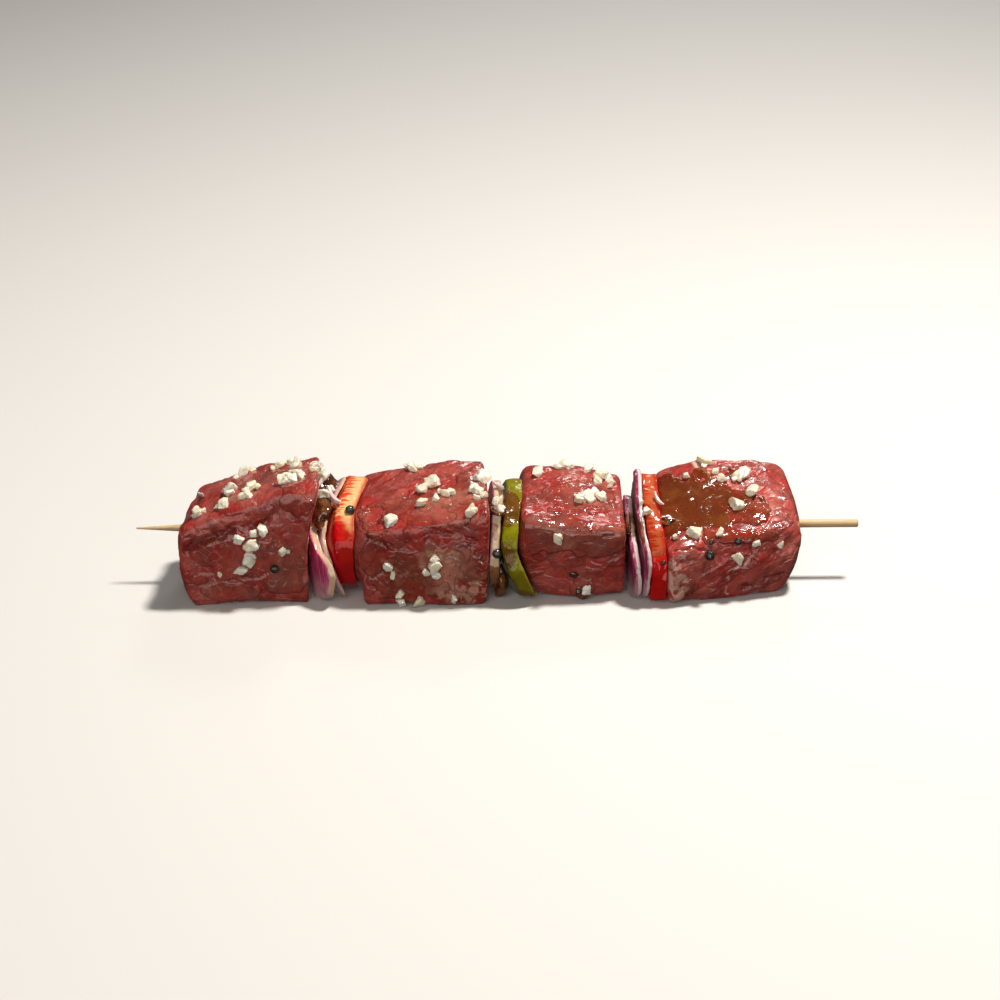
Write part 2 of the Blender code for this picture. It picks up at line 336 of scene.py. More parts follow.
class Wiring:
    """A material's node tree, with a short method for each kind of node it needs."""

    def __init__(self, name: str) -> None:
        """Start a material that holds only its shader and output."""
        self.material = bpy.data.materials.new(name)
        self.material.use_nodes = True
        self.tree = self.material.node_tree
        self.shader = self.tree.nodes["Principled BSDF"]

    def node(self, kind: str, **settings: object) -> bpy.types.Node:
        """A new node with its settings."""
        made = self.tree.nodes.new(kind)
        for key, value in settings.items():
            setattr(made, key, value)
        return made

    def put(self, socket: Socket, value: Union[Number, Tint]) -> None:
        """Link a socket to another, or set its own value."""
        if isinstance(value, Socket):
            self.tree.links.new(value, socket)
        elif isinstance(value, tuple) and len(value) == 3 and socket.type == "RGBA":
            socket.default_value = (*value, 1.0)
        else:
            socket.default_value = value

    def set(self, **values: Union[Number, Tint]) -> None:
        """Set the shader's sockets, with underscores for spaces in their names."""
        for key, value in values.items():
            self.put(self.shader.inputs[key.replace("_", " ")], value)

    def attribute(self, name: str) -> Socket:
        """The number that the mesh holds at each point."""
        return self.node("ShaderNodeAttribute", attribute_name=name).outputs["Fac"]

    def place(self, turn: Triple = (0.0, 0.0, 0.0)) -> Socket:
        """Object coordinates, turned."""
        mapping = self.node("ShaderNodeMapping")
        self.put(mapping.inputs["Vector"], self.node("ShaderNodeTexCoord").outputs["Object"])
        self.put(mapping.inputs["Rotation"], turn)
        return mapping.outputs["Vector"]

    def stretch(self, vector: Socket, across: float, along: float) -> Socket:
        """Cells of one size across and another along the third axis, in metres."""
        mapping = self.node("ShaderNodeMapping")
        self.put(mapping.inputs["Vector"], vector)
        self.put(mapping.inputs["Scale"], (1.0 / across, 1.0 / across, 1.0 / along))
        return mapping.outputs["Vector"]

    def wander(self, vector: Socket, scale: float, reach: float) -> Socket:
        """A vector pushed about by noise, by up to half the reach."""
        push = self.node("ShaderNodeTexNoise")
        self.put(push.inputs["Vector"], vector)
        self.put(push.inputs["Scale"], scale)
        shift = self.node("ShaderNodeVectorMath", operation="SUBTRACT")
        self.put(shift.inputs[0], push.outputs["Color"])
        self.put(shift.inputs[1], (0.5, 0.5, 0.5))
        moved = self.node("ShaderNodeVectorMath", operation="MULTIPLY_ADD")
        self.put(moved.inputs[0], shift.outputs[0])
        self.put(moved.inputs[1], (reach, reach, reach))
        self.put(moved.inputs[2], vector)
        return moved.outputs[0]

    def edges(self, vector: Socket) -> Socket:
        """Distance to the walls of a cell pattern."""
        made = self.node("ShaderNodeTexVoronoi", feature="DISTANCE_TO_EDGE")
        self.put(made.inputs["Vector"], vector)
        self.put(made.inputs["Scale"], 1.0)
        return made.outputs["Distance"]

    def spots(self, vector: Socket, scale: float, radius: float) -> Socket:
        """1 on round spots scattered through space, radius in cells."""
        made = self.node("ShaderNodeTexVoronoi", feature="F1")
        self.put(made.inputs["Vector"], vector)
        self.put(made.inputs["Scale"], scale)
        return self.ramp(made.outputs["Distance"], radius * 0.7, radius, 1.0, 0.0)

    def split(self, vector: Socket, axis: int) -> Socket:
        """One of a vector's three numbers."""
        made = self.node("ShaderNodeSeparateXYZ")
        self.put(made.inputs[0], vector)
        return made.outputs[axis]

    def noise(self, vector: Socket, scale: float, detail: float = 3.0,
              roughness: float = 0.55, distortion: float = 0.0) -> Socket:
        """Noise from 0 to 1."""
        made = self.node("ShaderNodeTexNoise")
        for key, value in (("Vector", vector), ("Scale", scale), ("Detail", detail),
                           ("Roughness", roughness), ("Distortion", distortion)):
            self.put(made.inputs[key], value)
        return made.outputs["Fac"]

    def ramp(self, value: Socket, low: float, high: float, to_low: float = 0.0,
             to_high: float = 1.0) -> Socket:
        """A value's range eased from low..high to to_low..to_high."""
        made = self.node("ShaderNodeMapRange", interpolation_type="SMOOTHSTEP")
        for key, number in (("Value", value), ("From Min", low), ("From Max", high),
                            ("To Min", to_low), ("To Max", to_high)):
            self.put(made.inputs[key], number)
        return made.outputs["Result"]

    def maths(self, operation: str, a: Number, b: Number) -> Socket:
        """Two numbers worked into one."""
        made = self.node("ShaderNodeMath", operation=operation)
        self.put(made.inputs[0], a)
        self.put(made.inputs[1], b)
        return made.outputs[0]

    def plus(self, a: Number, b: Number) -> Socket:
        """The sum of two numbers."""
        return self.maths("ADD", a, b)

    def times(self, a: Number, b: Number) -> Socket:
        """The product of two numbers."""
        return self.maths("MULTIPLY", a, b)

    def mix(self, factor: Number, a: Tint, b: Tint, blend: str = "MIX") -> Socket:
        """Two colours mixed by a factor."""
        made = self.node("ShaderNodeMix", data_type="RGBA", blend_type=blend)
        self.put(made.inputs[0], factor)
        self.put(made.inputs[6], a)
        self.put(made.inputs[7], b)
        return made.outputs[2]

    def bump(self, height: Socket, distance: float, strength: float,
             under: Optional[Socket] = None) -> Socket:
        """A bumped normal, distance in metres, on top of another bump."""
        made = self.node("ShaderNodeBump")
        self.put(made.inputs["Strength"], strength)
        self.put(made.inputs["Distance"], distance)
        self.put(made.inputs["Height"], height)
        if under is not None:
            self.put(made.inputs["Normal"], under)
        return made.outputs["Normal"]


def grain_turn(direction: Triple) -> Triple:
    """Euler angles that bring a direction onto the third axis."""
    return tuple(Vector(direction).rotation_difference(Vector((0.0, 0.0, 1.0))).to_euler())


# ---------------------------------------------------------------- finishes

@dataclass(frozen=True)
class Film:
    """What a film of marinade does to the colour beneath it.

    amber multiplies the colour, and brown and light are its own tints. thin and thick are
    how far they hide what is beneath, and contour how far the curled lines do.
    """

    amber: Colour = (0.56, 0.36, 0.18)
    brown: Colour = (0.13, 0.030, 0.006)
    light: Colour = (0.23, 0.078, 0.018)
    thin: float = 0.10
    thick: float = 0.68
    contour: float = 0.35

    def over(self, w: Wiring, colour: Socket) -> Tuple[Socket, Socket, Socket]:
        """Lay the film over a colour.

        Args:
            w: the material's wiring.
            colour: the colour beneath.

        Returns:
            The colour, the film's cover from 0 to 1, and its height with nested edges.
        """
        where = w.place()
        frayed = w.plus(w.attribute("film"), w.times(w.noise(where, 300.0, 3.0), 0.16))
        cover = w.ramp(frayed, 0.04, 0.12)
        stain = w.times(cover, w.attribute("stain"))
        pools = w.plus(frayed, w.times(w.noise(where, 170.0, 4.0), 0.8))
        thick = w.times(stain, w.ramp(pools, 0.42, 0.9, self.thin, self.thick))
        rim = w.times(w.ramp(frayed, 0.09, 0.17, 0.55, 0.0), cover)
        stained = w.mix(stain, colour, w.mix(1.0, colour, self.amber, "MULTIPLY"))
        tint = w.mix(w.ramp(w.noise(where, 80.0, 2.0), 0.45, 0.62), self.brown, self.light)
        filmed = w.mix(thick, stained, tint)
        filmed = w.mix(rim, filmed, self.brown)
        curls = w.noise(where, 95.0, 1.0, 0.5, 0.9)
        contour = w.times(w.ramp(curls, 0.44, 0.485), w.ramp(curls, 0.54, 0.50, 0.0, self.contour))
        filmed = w.mix(w.times(contour, cover), filmed, self.brown)
        grit = w.times(stain, w.spots(where, 420.0, 0.13))
        filmed = w.mix(grit, filmed, (0.03, 0.012, 0.006))
        crumbs = w.times(stain, w.spots(w.place(turn=(0.4, 0.2, 0.0)), 230.0, 0.10))
        filmed = w.mix(w.times(crumbs, 0.7), filmed, (0.50, 0.30, 0.14))
        swell = w.times(w.noise(where, 170.0, 2.0, 0.4), cover)
        steps = w.plus(w.ramp(pools, 0.68, 0.78, 0.0, 0.6),
                       w.times(w.ramp(curls, 0.48, 0.51, 0.0, 0.8), cover))
        nested = w.plus(cover, w.plus(steps, w.times(swell, 4.0)))
        return filmed, cover, nested


@dataclass(frozen=True)
class BeefFinish:
    """Raw beef: bundles of fibres in pale skins, wet, with fat and sauce on it.

    bundle and fibre are widths in metres, and each has its length along the grain.
    """

    red: Colour = (0.39, 0.031, 0.023)
    deep: Colour = (0.15, 0.004, 0.003)
    mauve: Colour = (0.45, 0.095, 0.072)
    skin: Colour = (0.64, 0.29, 0.22)
    fat: Colour = (0.74, 0.45, 0.35)
    film: Film = Film()
    bundle: float = 0.0048
    bundle_length: float = 0.022
    fibre: float = 0.0005
    fibre_length: float = 0.007

    def meat(self, w: Wiring, where: Socket, lines: Socket, streaks: Socket) -> Socket:
        """The meat's own colour, with painted shade in its creases.

        Args:
            w: the material's wiring.
            where: object coordinates.
            lines: 1 on the skins between bundles.
            streaks: fine noise along the fibres.

        Returns:
            The colour socket.
        """
        clouds = w.noise(where, 95.0, 3.0, 0.6)
        blotches = w.noise(where, 190.0, 3.0, 0.5)
        meat = w.mix(w.ramp(clouds, 0.40, 0.62), self.red, self.mauve)
        meat = w.mix(w.ramp(blotches, 0.44, 0.66, 0.0, 0.62), meat, self.deep)
        meat = w.mix(w.ramp(w.attribute("tone"), 0.5, 1.0, 0.0, 0.5), meat, self.deep)
        # Tone above 1 comes only from the creases: painted shade in the folds.
        meat = w.mix(w.ramp(w.attribute("tone"), 1.0, 1.3, 0.0, 0.6), meat, self.deep)
        meat = w.mix(w.ramp(streaks, 0.50, 0.72, 0.0, 0.6), meat, self.mauve)
        here = w.ramp(w.noise(where, 130.0, 2.0), 0.49, 0.64, 0.0, 0.42)
        meat = w.mix(w.times(lines, here), meat, self.skin)
        islands = w.ramp(w.noise(where, 330.0, 3.0), 0.42, 0.54)
        fat = w.attribute("fat")
        fat = w.maths("MAXIMUM", w.times(fat, islands), w.ramp(fat, 0.75, 0.95))
        return w.mix(fat, meat, self.fat)

    def build(self, name: str, grain: Triple) -> bpy.types.Material:
        """The material of one cube, with its fibres along its own grain."""
        w = Wiring(name)
        where = w.place()
        along = w.wander(w.place(turn=grain_turn(grain)), 130.0, 0.007)
        bundles = w.edges(w.stretch(along, self.bundle, self.bundle_length))
        strands = w.edges(w.stretch(along, self.bundle / 2.4, self.bundle_length / 2))
        lines = w.maths("MAXIMUM", w.ramp(bundles, 0.008, 0.04, 1.0, 0.0),
                        w.ramp(strands, 0.01, 0.05, 0.4, 0.0))
        streaks = w.noise(w.stretch(along, self.fibre, self.fibre_length), 1.0, 2.0)
        colour, cover, nested = self.film.over(w, self.meat(w, where, lines, streaks))
        w.set(Base_Color=colour, Roughness=w.ramp(cover, 0.0, 1.0, 0.28, 0.12),
              Specular_IOR_Level=0.3, Subsurface_Weight=0.2, Subsurface_Scale=0.0025,
              Subsurface_Radius=(1.0, 0.28, 0.18),
              Coat_Weight=0.6, Coat_Roughness=0.06, Coat_IOR=1.4)
        bare = w.maths("SUBTRACT", 1.0, w.times(cover, 0.92))
        bump = w.bump(w.times(w.ramp(bundles, 0.0, 0.12), bare), 0.0002, 0.5)
        bump = w.bump(w.times(streaks, bare), 0.0002, 0.6, bump)
        bump = w.bump(w.times(w.noise(where, 500.0, 2.0), bare), 0.0003, 0.35, bump)
        w.set(Normal=w.bump(nested, 0.00025, 0.9, bump))
        return w.material


@dataclass(frozen=True)
class OnionFinish:
    """A layer of red onion: purple streaks outside, milky inside, cream at its cut edge.

    purple is how strong its outside is, wrap how far round the rim that runs (-1 left,
    1 right), and tan how strong the cut edge is.
    """

    skin: Colour = (0.78, 0.12, 0.28)
    streak: Colour = (0.46, 0.035, 0.14)
    pale: Colour = (0.86, 0.60, 0.67)
    milk: Colour = (0.76, 0.60, 0.59)
    cut: Colour = (0.68, 0.47, 0.28)
    purple: float = 1.0
    wrap: float = -0.6
    tan: float = 0.95

    def build(self, name: str) -> bpy.types.Material:
        """The material of one layer."""
        w = Wiring(name)
        where = w.place()
        lengthwise = w.wander(w.place(turn=(0.25, 0.0, 0.0)), 120.0, 0.002)
        streaks = w.noise(w.stretch(lengthwise, 0.0011, 0.03), 1.0, 3.0, 0.6)
        clouds = w.noise(where, 110.0, 3.0)
        skin = w.mix(w.ramp(streaks, 0.42, 0.62), self.skin, self.streak)
        skin = w.mix(w.ramp(streaks, 0.45, 0.3, 0.0, 0.85), skin, self.pale)
        flesh = w.mix(w.ramp(clouds, 0.35, 0.65, 0.1, 0.55), self.milk, self.pale)
        side = w.attribute("side")
        outer = w.ramp(side, self.wrap + 0.1, self.wrap - 0.2, 0.0, self.purple)
        tip = w.ramp(w.split(where, 2), 0.012, 0.002, 0.0, 0.8)
        skin = w.mix(tip, skin, w.mix(0.35, self.milk, self.skin))
        colour = w.mix(outer, flesh, skin)
        edge = w.times(w.ramp(w.attribute("reach"), 0.955, 0.985),
                       w.ramp(side, self.wrap - 0.2, self.wrap + 0.1))
        colour = w.mix(w.times(edge, self.tan), colour, self.cut)
        colour, _, _ = Film().over(w, colour)
        w.set(Base_Color=colour, Roughness=0.28, Subsurface_Weight=0.35,
              Subsurface_Scale=0.002, Subsurface_Radius=(1.0, 0.7, 0.7),
              Coat_Weight=0.6, Coat_Roughness=0.06)
        w.set(Normal=w.bump(streaks, 0.0002, 0.5, w.bump(clouds, 0.0004, 0.4)))
        return w.material


@dataclass(frozen=True)
class PepperFinish:
    """Bell pepper: glossy skin on one side, paler flesh at the cut and inside.

    The inside shows above one height, and below another the skin is painted deep as painted shade
    towards the floor, both in metres.
    """

    skin: Colour
    deep: Colour
    flesh: Colour
    inside: Colour
    inside_above: float = 0.1
    shade_below: float = -0.1

    def build(self, name: str) -> bpy.types.Material:
        """The material of one square of pepper."""
        w = Wiring(name)
        where = w.place()
        clouds = w.noise(where, 90.0, 3.0)
        ribs = w.noise(w.stretch(w.place(turn=(0.0, math.pi / 2, 0.0)), 0.0009, 0.02), 1.0, 2.0)
        skin = w.mix(w.ramp(clouds, 0.35, 0.65), self.skin, self.deep)
        height = w.split(where, 2)
        # Painted shade: the skin darkens to deep towards its foot, and its cut edge fades there.
        foot_shade = w.ramp(height, self.shade_below, self.shade_below - 0.012)
        skin = w.mix(foot_shade, skin, self.deep)
        side = w.attribute("side")
        cut = w.times(w.ramp(w.attribute("reach"), 0.955, 0.985),
                      w.ramp(foot_shade, 0.0, 1.0, 1.0, 0.3))
        top = w.ramp(w.plus(height, w.times(clouds, 0.014)),
                     self.inside_above, self.inside_above + 0.005)
        comb = w.plus(ribs, w.ramp(side, -1.0, 0.5, -0.13, 0.14))
        flesh = w.mix(w.ramp(comb, 0.38, 0.5, 0.05, 0.95), self.flesh, self.inside)
        colour = w.mix(w.times(cut, w.ramp(side, -0.9, -0.2, 0.0, 0.3)), skin,
                       self.flesh)
        colour = w.mix(w.times(top, w.ramp(side, 0.9, 0.3, 0.15, 1.0)), colour, flesh)
        colour, _, _ = Film().over(w, colour)
        w.set(Base_Color=colour, Roughness=0.25, Specular_IOR_Level=0.06,
              Subsurface_Weight=0.2, Subsurface_Scale=0.002,
              Subsurface_Radius=(1.0, 0.4, 0.2), Coat_Weight=0.4, Coat_Roughness=0.04)
        w.set(Normal=w.bump(ribs, 0.0002, 0.4, w.bump(clouds, 0.0006, 0.4)))
        return w.material


RED_PEPPER = PepperFinish(skin=(0.72, 0.003, 0.006), deep=(0.42, 0.002, 0.005),
                          flesh=(0.74, 0.045, 0.008), inside=(0.84, 0.54, 0.24))
GREEN_PEPPER = PepperFinish(skin=(0.23, 0.225, 0.002), deep=(0.13, 0.085, 0.002),
                            flesh=(0.32, 0.30, 0.01), inside=(0.45, 0.42, 0.08))


@dataclass(frozen=True)
class MottledFinish:
    """A mottled finish for what lies on the meat.

    scale is how fine the mottling is, per metre. soft is the share of light that enters and
    comes out again, coat the weight of the wet coat, and bump the mottling's height in metres.
    """

    colour: Colour
    second: Colour
    scale: float
    roughness: float
    soft: float
    coat: float
    bump: float

    def build(self, name: str) -> bpy.types.Material:
        """The material of one kind of bit."""
        w = Wiring(name)
        mottle = w.noise(w.place(), self.scale, 4.0, 0.6)
        w.set(Base_Color=w.mix(w.ramp(mottle, 0.4, 0.65), self.colour, self.second),
              Roughness=self.roughness, Subsurface_Weight=self.soft, Subsurface_Scale=0.002,
              Subsurface_Radius=(1.0, 0.8, 0.5), Coat_Weight=self.coat, Coat_Roughness=0.05,
              Normal=w.bump(mottle, self.bump, 0.6))
        return w.material


GARLIC_FINISH = MottledFinish((0.95, 0.89, 0.74), (0.90, 0.78, 0.54), scale=300.0,
                              roughness=0.35, soft=0.4, coat=0.4, bump=0.0002)
SLIVER_FINISH = MottledFinish((0.90, 0.78, 0.74), (0.72, 0.42, 0.50), scale=160.0,
                              roughness=0.3, soft=0.4, coat=0.6, bump=0.0001)
PEPPERCORN_FINISH = MottledFinish((0.012, 0.009, 0.007), (0.05, 0.035, 0.02), scale=900.0,
                                  roughness=0.4, soft=0.0, coat=0.8, bump=0.0003)
MARINADE_FINISH = MottledFinish((0.055, 0.014, 0.004), (0.19, 0.065, 0.018), scale=260.0,
                                roughness=0.08, soft=0.1, coat=1.0, bump=0.0001)


def bamboo_finish() -> bpy.types.Material:
    """Pale split bamboo with fibres along the stick."""
    w = Wiring("bamboo")
    along = w.place(turn=(0.0, math.pi / 2, 0.0))
    fibres = w.noise(w.stretch(along, 0.0004, 0.02), 1.0, 3.0, 0.6)
    broad = w.noise(w.stretch(along, 0.0012, 0.06), 1.0, 2.0)
    colour = w.mix(w.ramp(fibres, 0.45, 0.7, 0.0, 0.6), (0.72, 0.52, 0.28), (0.50, 0.31, 0.13))
    colour = w.mix(w.ramp(broad, 0.4, 0.7, 0.0, 0.5), colour, (0.80, 0.62, 0.38))
    w.set(Base_Color=colour, Roughness=0.6, Normal=w.bump(fibres, 0.00015, 0.6))
    return w.material


# ---------------------------------------------------------------- what lies on the meat

@dataclass(frozen=True)
class Patch:
    """A patch with a wavy edge, as the part of a surface inside an ellipsoid."""

    centre: Triple
    radii: Triple
    strength: float = 1.0

    def inside(self, points: np.ndarray) -> np.ndarray:
        """1 at the patch's middle, 0 on its edge and less outside."""
        return 1.0 - np.linalg.norm((points - self.centre) / np.array(self.radii), axis=-1)


@dataclass(frozen=True)
class Seam:
    """A thin pale line of fat between two points of the meat."""

    start: Triple
    end: Triple
    width: float = 0.7

    def on(self, points: np.ndarray) -> np.ndarray:
        """1 along the line, easing to 0 at its width."""
        start, run = np.array(self.start), np.subtract(self.end, self.start)
        share = np.clip((points - start) @ run / (run @ run), 0.0, 1.0)
        away = np.linalg.norm(points - start - share[..., None] * run, axis=-1)
        return 1.0 - ease(0.3 * self.width, self.width, away)


def covered(patches: Sequence[Patch], points: np.ndarray, seed: int, wavy: float = 0.35) -> Arrays:
    """How far inside the nearest patch each point is, with edges that follow one noise.

    Args:
        patches: the patches.
        points: places in millimetres, shape (..., 3).
        seed: which random field.
        wavy: how far the noise moves the edges.

    Returns:
        The depth inside a patch (0 on its edge, -1 where there is none), and its strength.
    """
    waver = wavy * fractal(points / 6.0, seed, 4)
    depth = np.full(points.shape[:-1], -1.0)
    strength = np.zeros(points.shape[:-1])
    for patch in patches:
        here = patch.inside(points) + waver
        strength = np.where(here > depth, patch.strength, strength)
        depth = np.maximum(depth, here)
    return depth, strength


class Face(Enum):
    """A side of the kebab: the axis it faces, which way, and its own two axes."""

    TOP = (2, 1, (0, 1))
    FRONT = (1, -1, (0, 2))
    BACK = (1, 1, (0, 2))


@dataclass(frozen=True)
class Sprinkle:
    """Bits scattered round a spot of one side, all within a radius of it."""

    face: Face
    spot: Pair
    count: int
    radius: float
    size: float


def sprinkled(face: Face, *rows: Tuple[float, float, int, float, float]) -> Tuple[Sprinkle, ...]:
    """Sprinkles on one side, each from its spot's two places, its count, radius and size."""
    return tuple(Sprinkle(face, (a, b), *rest) for a, b, *rest in rows)


# ---------------------------------------------------------------- beef

# The meat's relief in millimetres, and how much of it a film of marinade fills.
LUMP_HEIGHT = 0.6
BUNDLE_STEP = 0.3
GROOVE_DEPTH = 0.16
FIBRE_HEIGHT = 0.07
CREASE_DEPTH = 0.4  # for each mm of a crease's width
# How far a crease raises the tone, which the meat then paints darker: painted shade in the fold.
CREASE_PAINTED_SHADE = 1.4
FILM_RISE = 0.3
FAT_RISE = 0.1
FILM_FILLS = 0.6


@dataclass(frozen=True)
class Beef:
    """A cube of beef. Pairs of sizes are for its left and right end.

    A crown is how far the top swells halfway, a dome how far a cut face does. cut_relief is
    the share of the meat's relief that each cut face keeps.
    """

    left: float
    right: float
    front: Pair
    back: Pair
    top_front: Pair
    top_back: Pair
    left_bend: Bend = Bend()
    right_bend: Bend = Bend()
    foot_front: Pair = (0.0, 0.0)
    front_lean: float = 0.0
    crown_front: float = 0.0
    crown_back: float = 0.0
    rounding: Pair = (0.11, 0.10)
    dome: Pair = (0.0, 0.0)
    seed: int = 0
    unevenness: float = 0.45
    grain: Triple = (0.3, 0.9, 0.2)
    cut_relief: Pair = (0.25, 0.25)
    sauce: Tuple[Patch, ...] = ()
    fat: Tuple[Patch, ...] = ()
    seams: Tuple[Seam, ...] = ()
    # Grooves cut into the meat and also painted darker along them, as painted shade in the folds.
    painted_shade_creases: Tuple[Seam, ...] = ()
    finish: BeefFinish = BeefFinish()

    def block(self, grid: Tuple[int, int, int, int]) -> Tuple[np.ndarray, ...]:
        """Smooth block of meat as a grid: a bent box with rounded edges.

        Args:
            grid: points round the block, then rings on a cut face, a rim and half a side.

        Returns:
            Points, station (-1 left cut, 1 right cut) and reach (0 hole, 1 outside).
        """
        count, *rings = grid
        station, reach = rounded_profile(*self.rounding, rings)
        a, b = squircle(count)
        along, deep, high = (station + 1) / 2, (a + 1) / 2, (b + 1) / 2
        middle = 1.0 - station ** 2

        def ends(pair: Pair) -> np.ndarray:
            """A size that runs from its left value to its right one."""
            return pair[0] * (1 - along) + pair[1] * along

        z_front = (ends(self.foot_front) * (1 - high)
                   + (ends(self.top_front) + self.crown_front * middle) * high)
        z_back = (ends(self.top_back) + self.crown_back * middle) * high
        z = z_front * (1 - deep) + z_back * deep - SAG * (1 - high)
        y_front = ends(self.front) + self.front_lean * (z - STICK_HEIGHT)
        y = y_front * (1 - deep) + ends(self.back) * deep
        y, z = threaded(y, z, reach)
        left = self.left + self.left_bend.offset(y, z) - self.dome[0] * (1 - reach ** 2)
        right = self.right + self.right_bend.offset(y, z) + self.dome[1] * (1 - reach ** 2)
        points = np.stack([left * (1 - along) + right * along, y, z], axis=-1)
        fade = np.clip(reach / 0.6, 0.0, 1.0)[..., None] ** 2
        cut_fade = np.stack(np.broadcast_arrays(middle, 1.0, 1.0), axis=-1)
        shift = uneven(points, self.seed, self.unevenness) * fade * cut_fade
        return points + shift, station, reach

    def relief(self, points: np.ndarray) -> Arrays:
        """Height of the meat's lumps and fibre bundles, in millimetres, and their tones."""
        turn = np.array(Vector(self.grain).rotation_difference(Vector((0, 0, 1))).to_matrix())
        along = points @ turn.T
        along = along + 1.6 * np.stack(
            [fractal(points / 7.0, self.seed * 7 + k, 2) for k in range(3)], axis=-1)
        inside, tone = cells(along / (4.2, 4.2, 20.0), self.seed * 7 + 3)
        lumps = (fractal(points / 9.0, self.seed * 7 + 4, 2)
                 + 0.3 * fractal(points / 3.2, self.seed * 7 + 6, 2))
        fibres = noise(along / (1.1, 1.1, 9.0), self.seed * 7 + 5)
        groove = 1.0 - ease(0.0, 0.22, inside)
        height = (LUMP_HEIGHT * lumps + BUNDLE_STEP * (tone - 0.5) - GROOVE_DEPTH * groove
                  + FIBRE_HEIGHT * fibres)
        return height, tone

    def build(self, name: str) -> Arrays:
        """Make the cube.

        Args:
            name: its solid's name.

        Returns:
            The finished points and their normals, for what lies on the cube.
        """
        size = [int(n * DETAIL) for n in BEEF_GRID]
        points, station, reach = self.block(size)
        normals = grid_normals(points)
        height, tone = self.relief(points)
        film, stain = covered(self.sauce, points, self.seed * 7 + 6)
        marbled, share = covered(self.fat, points, self.seed * 7 + 8, 0.6)
        fat = share * ease(0.0, 0.15, marbled) * 0.7
        strayed = points + 1.1 * np.stack(
            [fractal(points / 3.5, self.seed * 7 + k + 20, 2) for k in range(3)], axis=-1)
        for seam in self.seams:
            fat = np.maximum(fat, seam.on(strayed))
        # Each crease is a groove, and its tone is raised so that it is painted darker, as painted
        # shade in the fold.
        for crease in self.painted_shade_creases:
            folded = crease.on(strayed)
            height = height - CREASE_DEPTH * crease.width * folded
            tone = np.maximum(tone, CREASE_PAINTED_SHADE * folded)
        shares = np.interp(station, [-1.0, -0.8, 0.8, 1.0],
                           [self.cut_relief[0], 1.0, 1.0, self.cut_relief[1]])
        fade = ease(0.15, 0.7, reach) * shares
        wet = ease(0.0, 0.12, film)
        height = height * (1.0 - FILM_FILLS * wet) + FILM_RISE * wet + FAT_RISE * fat
        points = points + normals * (height * fade)[..., None]
        points[..., 2] = np.maximum(points[..., 2], 0.0)
        made = add_piece(name + "_dressed", points, ring_faces(*points.shape[:2]),
                         {"tone": tone, "film": film, "stain": stain, "fat": fat},
                         self.finish.build(name, self.grain))
        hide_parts(name)
        return points.reshape(-1, 3), grid_normals(points).reshape(-1, 3)


# ---------------------------------------------------------------- onion and pepper

@dataclass(frozen=True)
class Slice:
    """A square of onion or pepper, as an outline in (y, z) with a wall along x."""

    x: float
    wall: float
    outline: Tuple[Pair, ...]
    bend: Bend
    corner_radius: float = 6.0
    edge_round: float = 0.7
    seed: int = 0
    ragged: float = 0.55
    sauce: Tuple[Patch, ...] = ()

    def sheet(self, grid: Sequence[int]) -> Tuple[np.ndarray, np.ndarray, np.ndarray]:
        """The smooth slice as a grid, with the station and reach of each ring.

        Args:
            grid: points round the slice, then rings on a cut face, a rim and half a wall.

        Returns:
            Points, station and reach.
        """
        count, *rings = grid
        y, z = rounded_outline(self.outline, self.corner_radius, count)
        round_station = min(2.0 * self.edge_round / self.wall, 0.7)
        station, reach = rounded_profile(self.edge_round / 18.0, round_station, rings)
        y, z = threaded(y, z, reach)
        x = self.x + self.bend.offset(y, z) + station * self.wall / 2
        return np.stack(np.broadcast_arrays(x, y, z), axis=-1), station, reach

    def build(self, name: str, material: bpy.types.Material, slot: str) -> Arrays:
        """Make the slice.

        Args:
            name: the slice's name, which is its solid's too.
            material: its finish.
            slot: not used.

        Returns:
            The finished points and their normals.
        """
        points, station, reach = self.sheet([int(n * DETAIL) for n in SLICE_GRID])
        side, share, _ = np.broadcast_arrays(station, reach, points[..., 0])
        waves = self.ragged * fractal(points / 6.0, self.seed, 4) * ease(0.5, 1.0, share)
        flat = 0.12 + 0.88 * ease(0.93, 1.0, share)
        points = points + grid_normals(points) * (waves * flat)[..., None]
        points[..., 2] = np.maximum(points[..., 2], 0.0)
        film, stain = covered(self.sauce, points, self.seed + 50)
        made = add_piece(name + "_dressed", points, ring_faces(*points.shape[:2]),
                         {"side": side, "reach": share, "film": film, "stain": stain},
                         material)
        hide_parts(name)
        return points.reshape(-1, 3), grid_normals(points).reshape(-1, 3)


def shade_juice(piece: Slice) -> Arrays:
    """Marinade that fills the gap at the left of a slice: a thin dark sheet, partly marinade and
    partly painted shade in the gap.

    Args:
        piece: the slice, of which it copies the bend and a smaller outline.

    Returns:
        Points and triangles.
    """
    outline = tuple((JUICE_SHARE * y, STICK_HEIGHT + JUICE_SHARE * (z - STICK_HEIGHT))
                    for y, z in piece.outline)
    fill = replace(piece, x=piece.x - piece.wall / 2 - JUICE_OFFSET, wall=JUICE_WALL,
                   outline=outline)
    points, _, _ = fill.sheet(JUICE_GRID)
    faces = ring_faces(*points.shape[:2])
    return points.reshape(-1, 3), np.vstack([faces[:, [0, 1, 2]], faces[:, [0, 2, 3]]])


# ---------------------------------------------------------------- stick

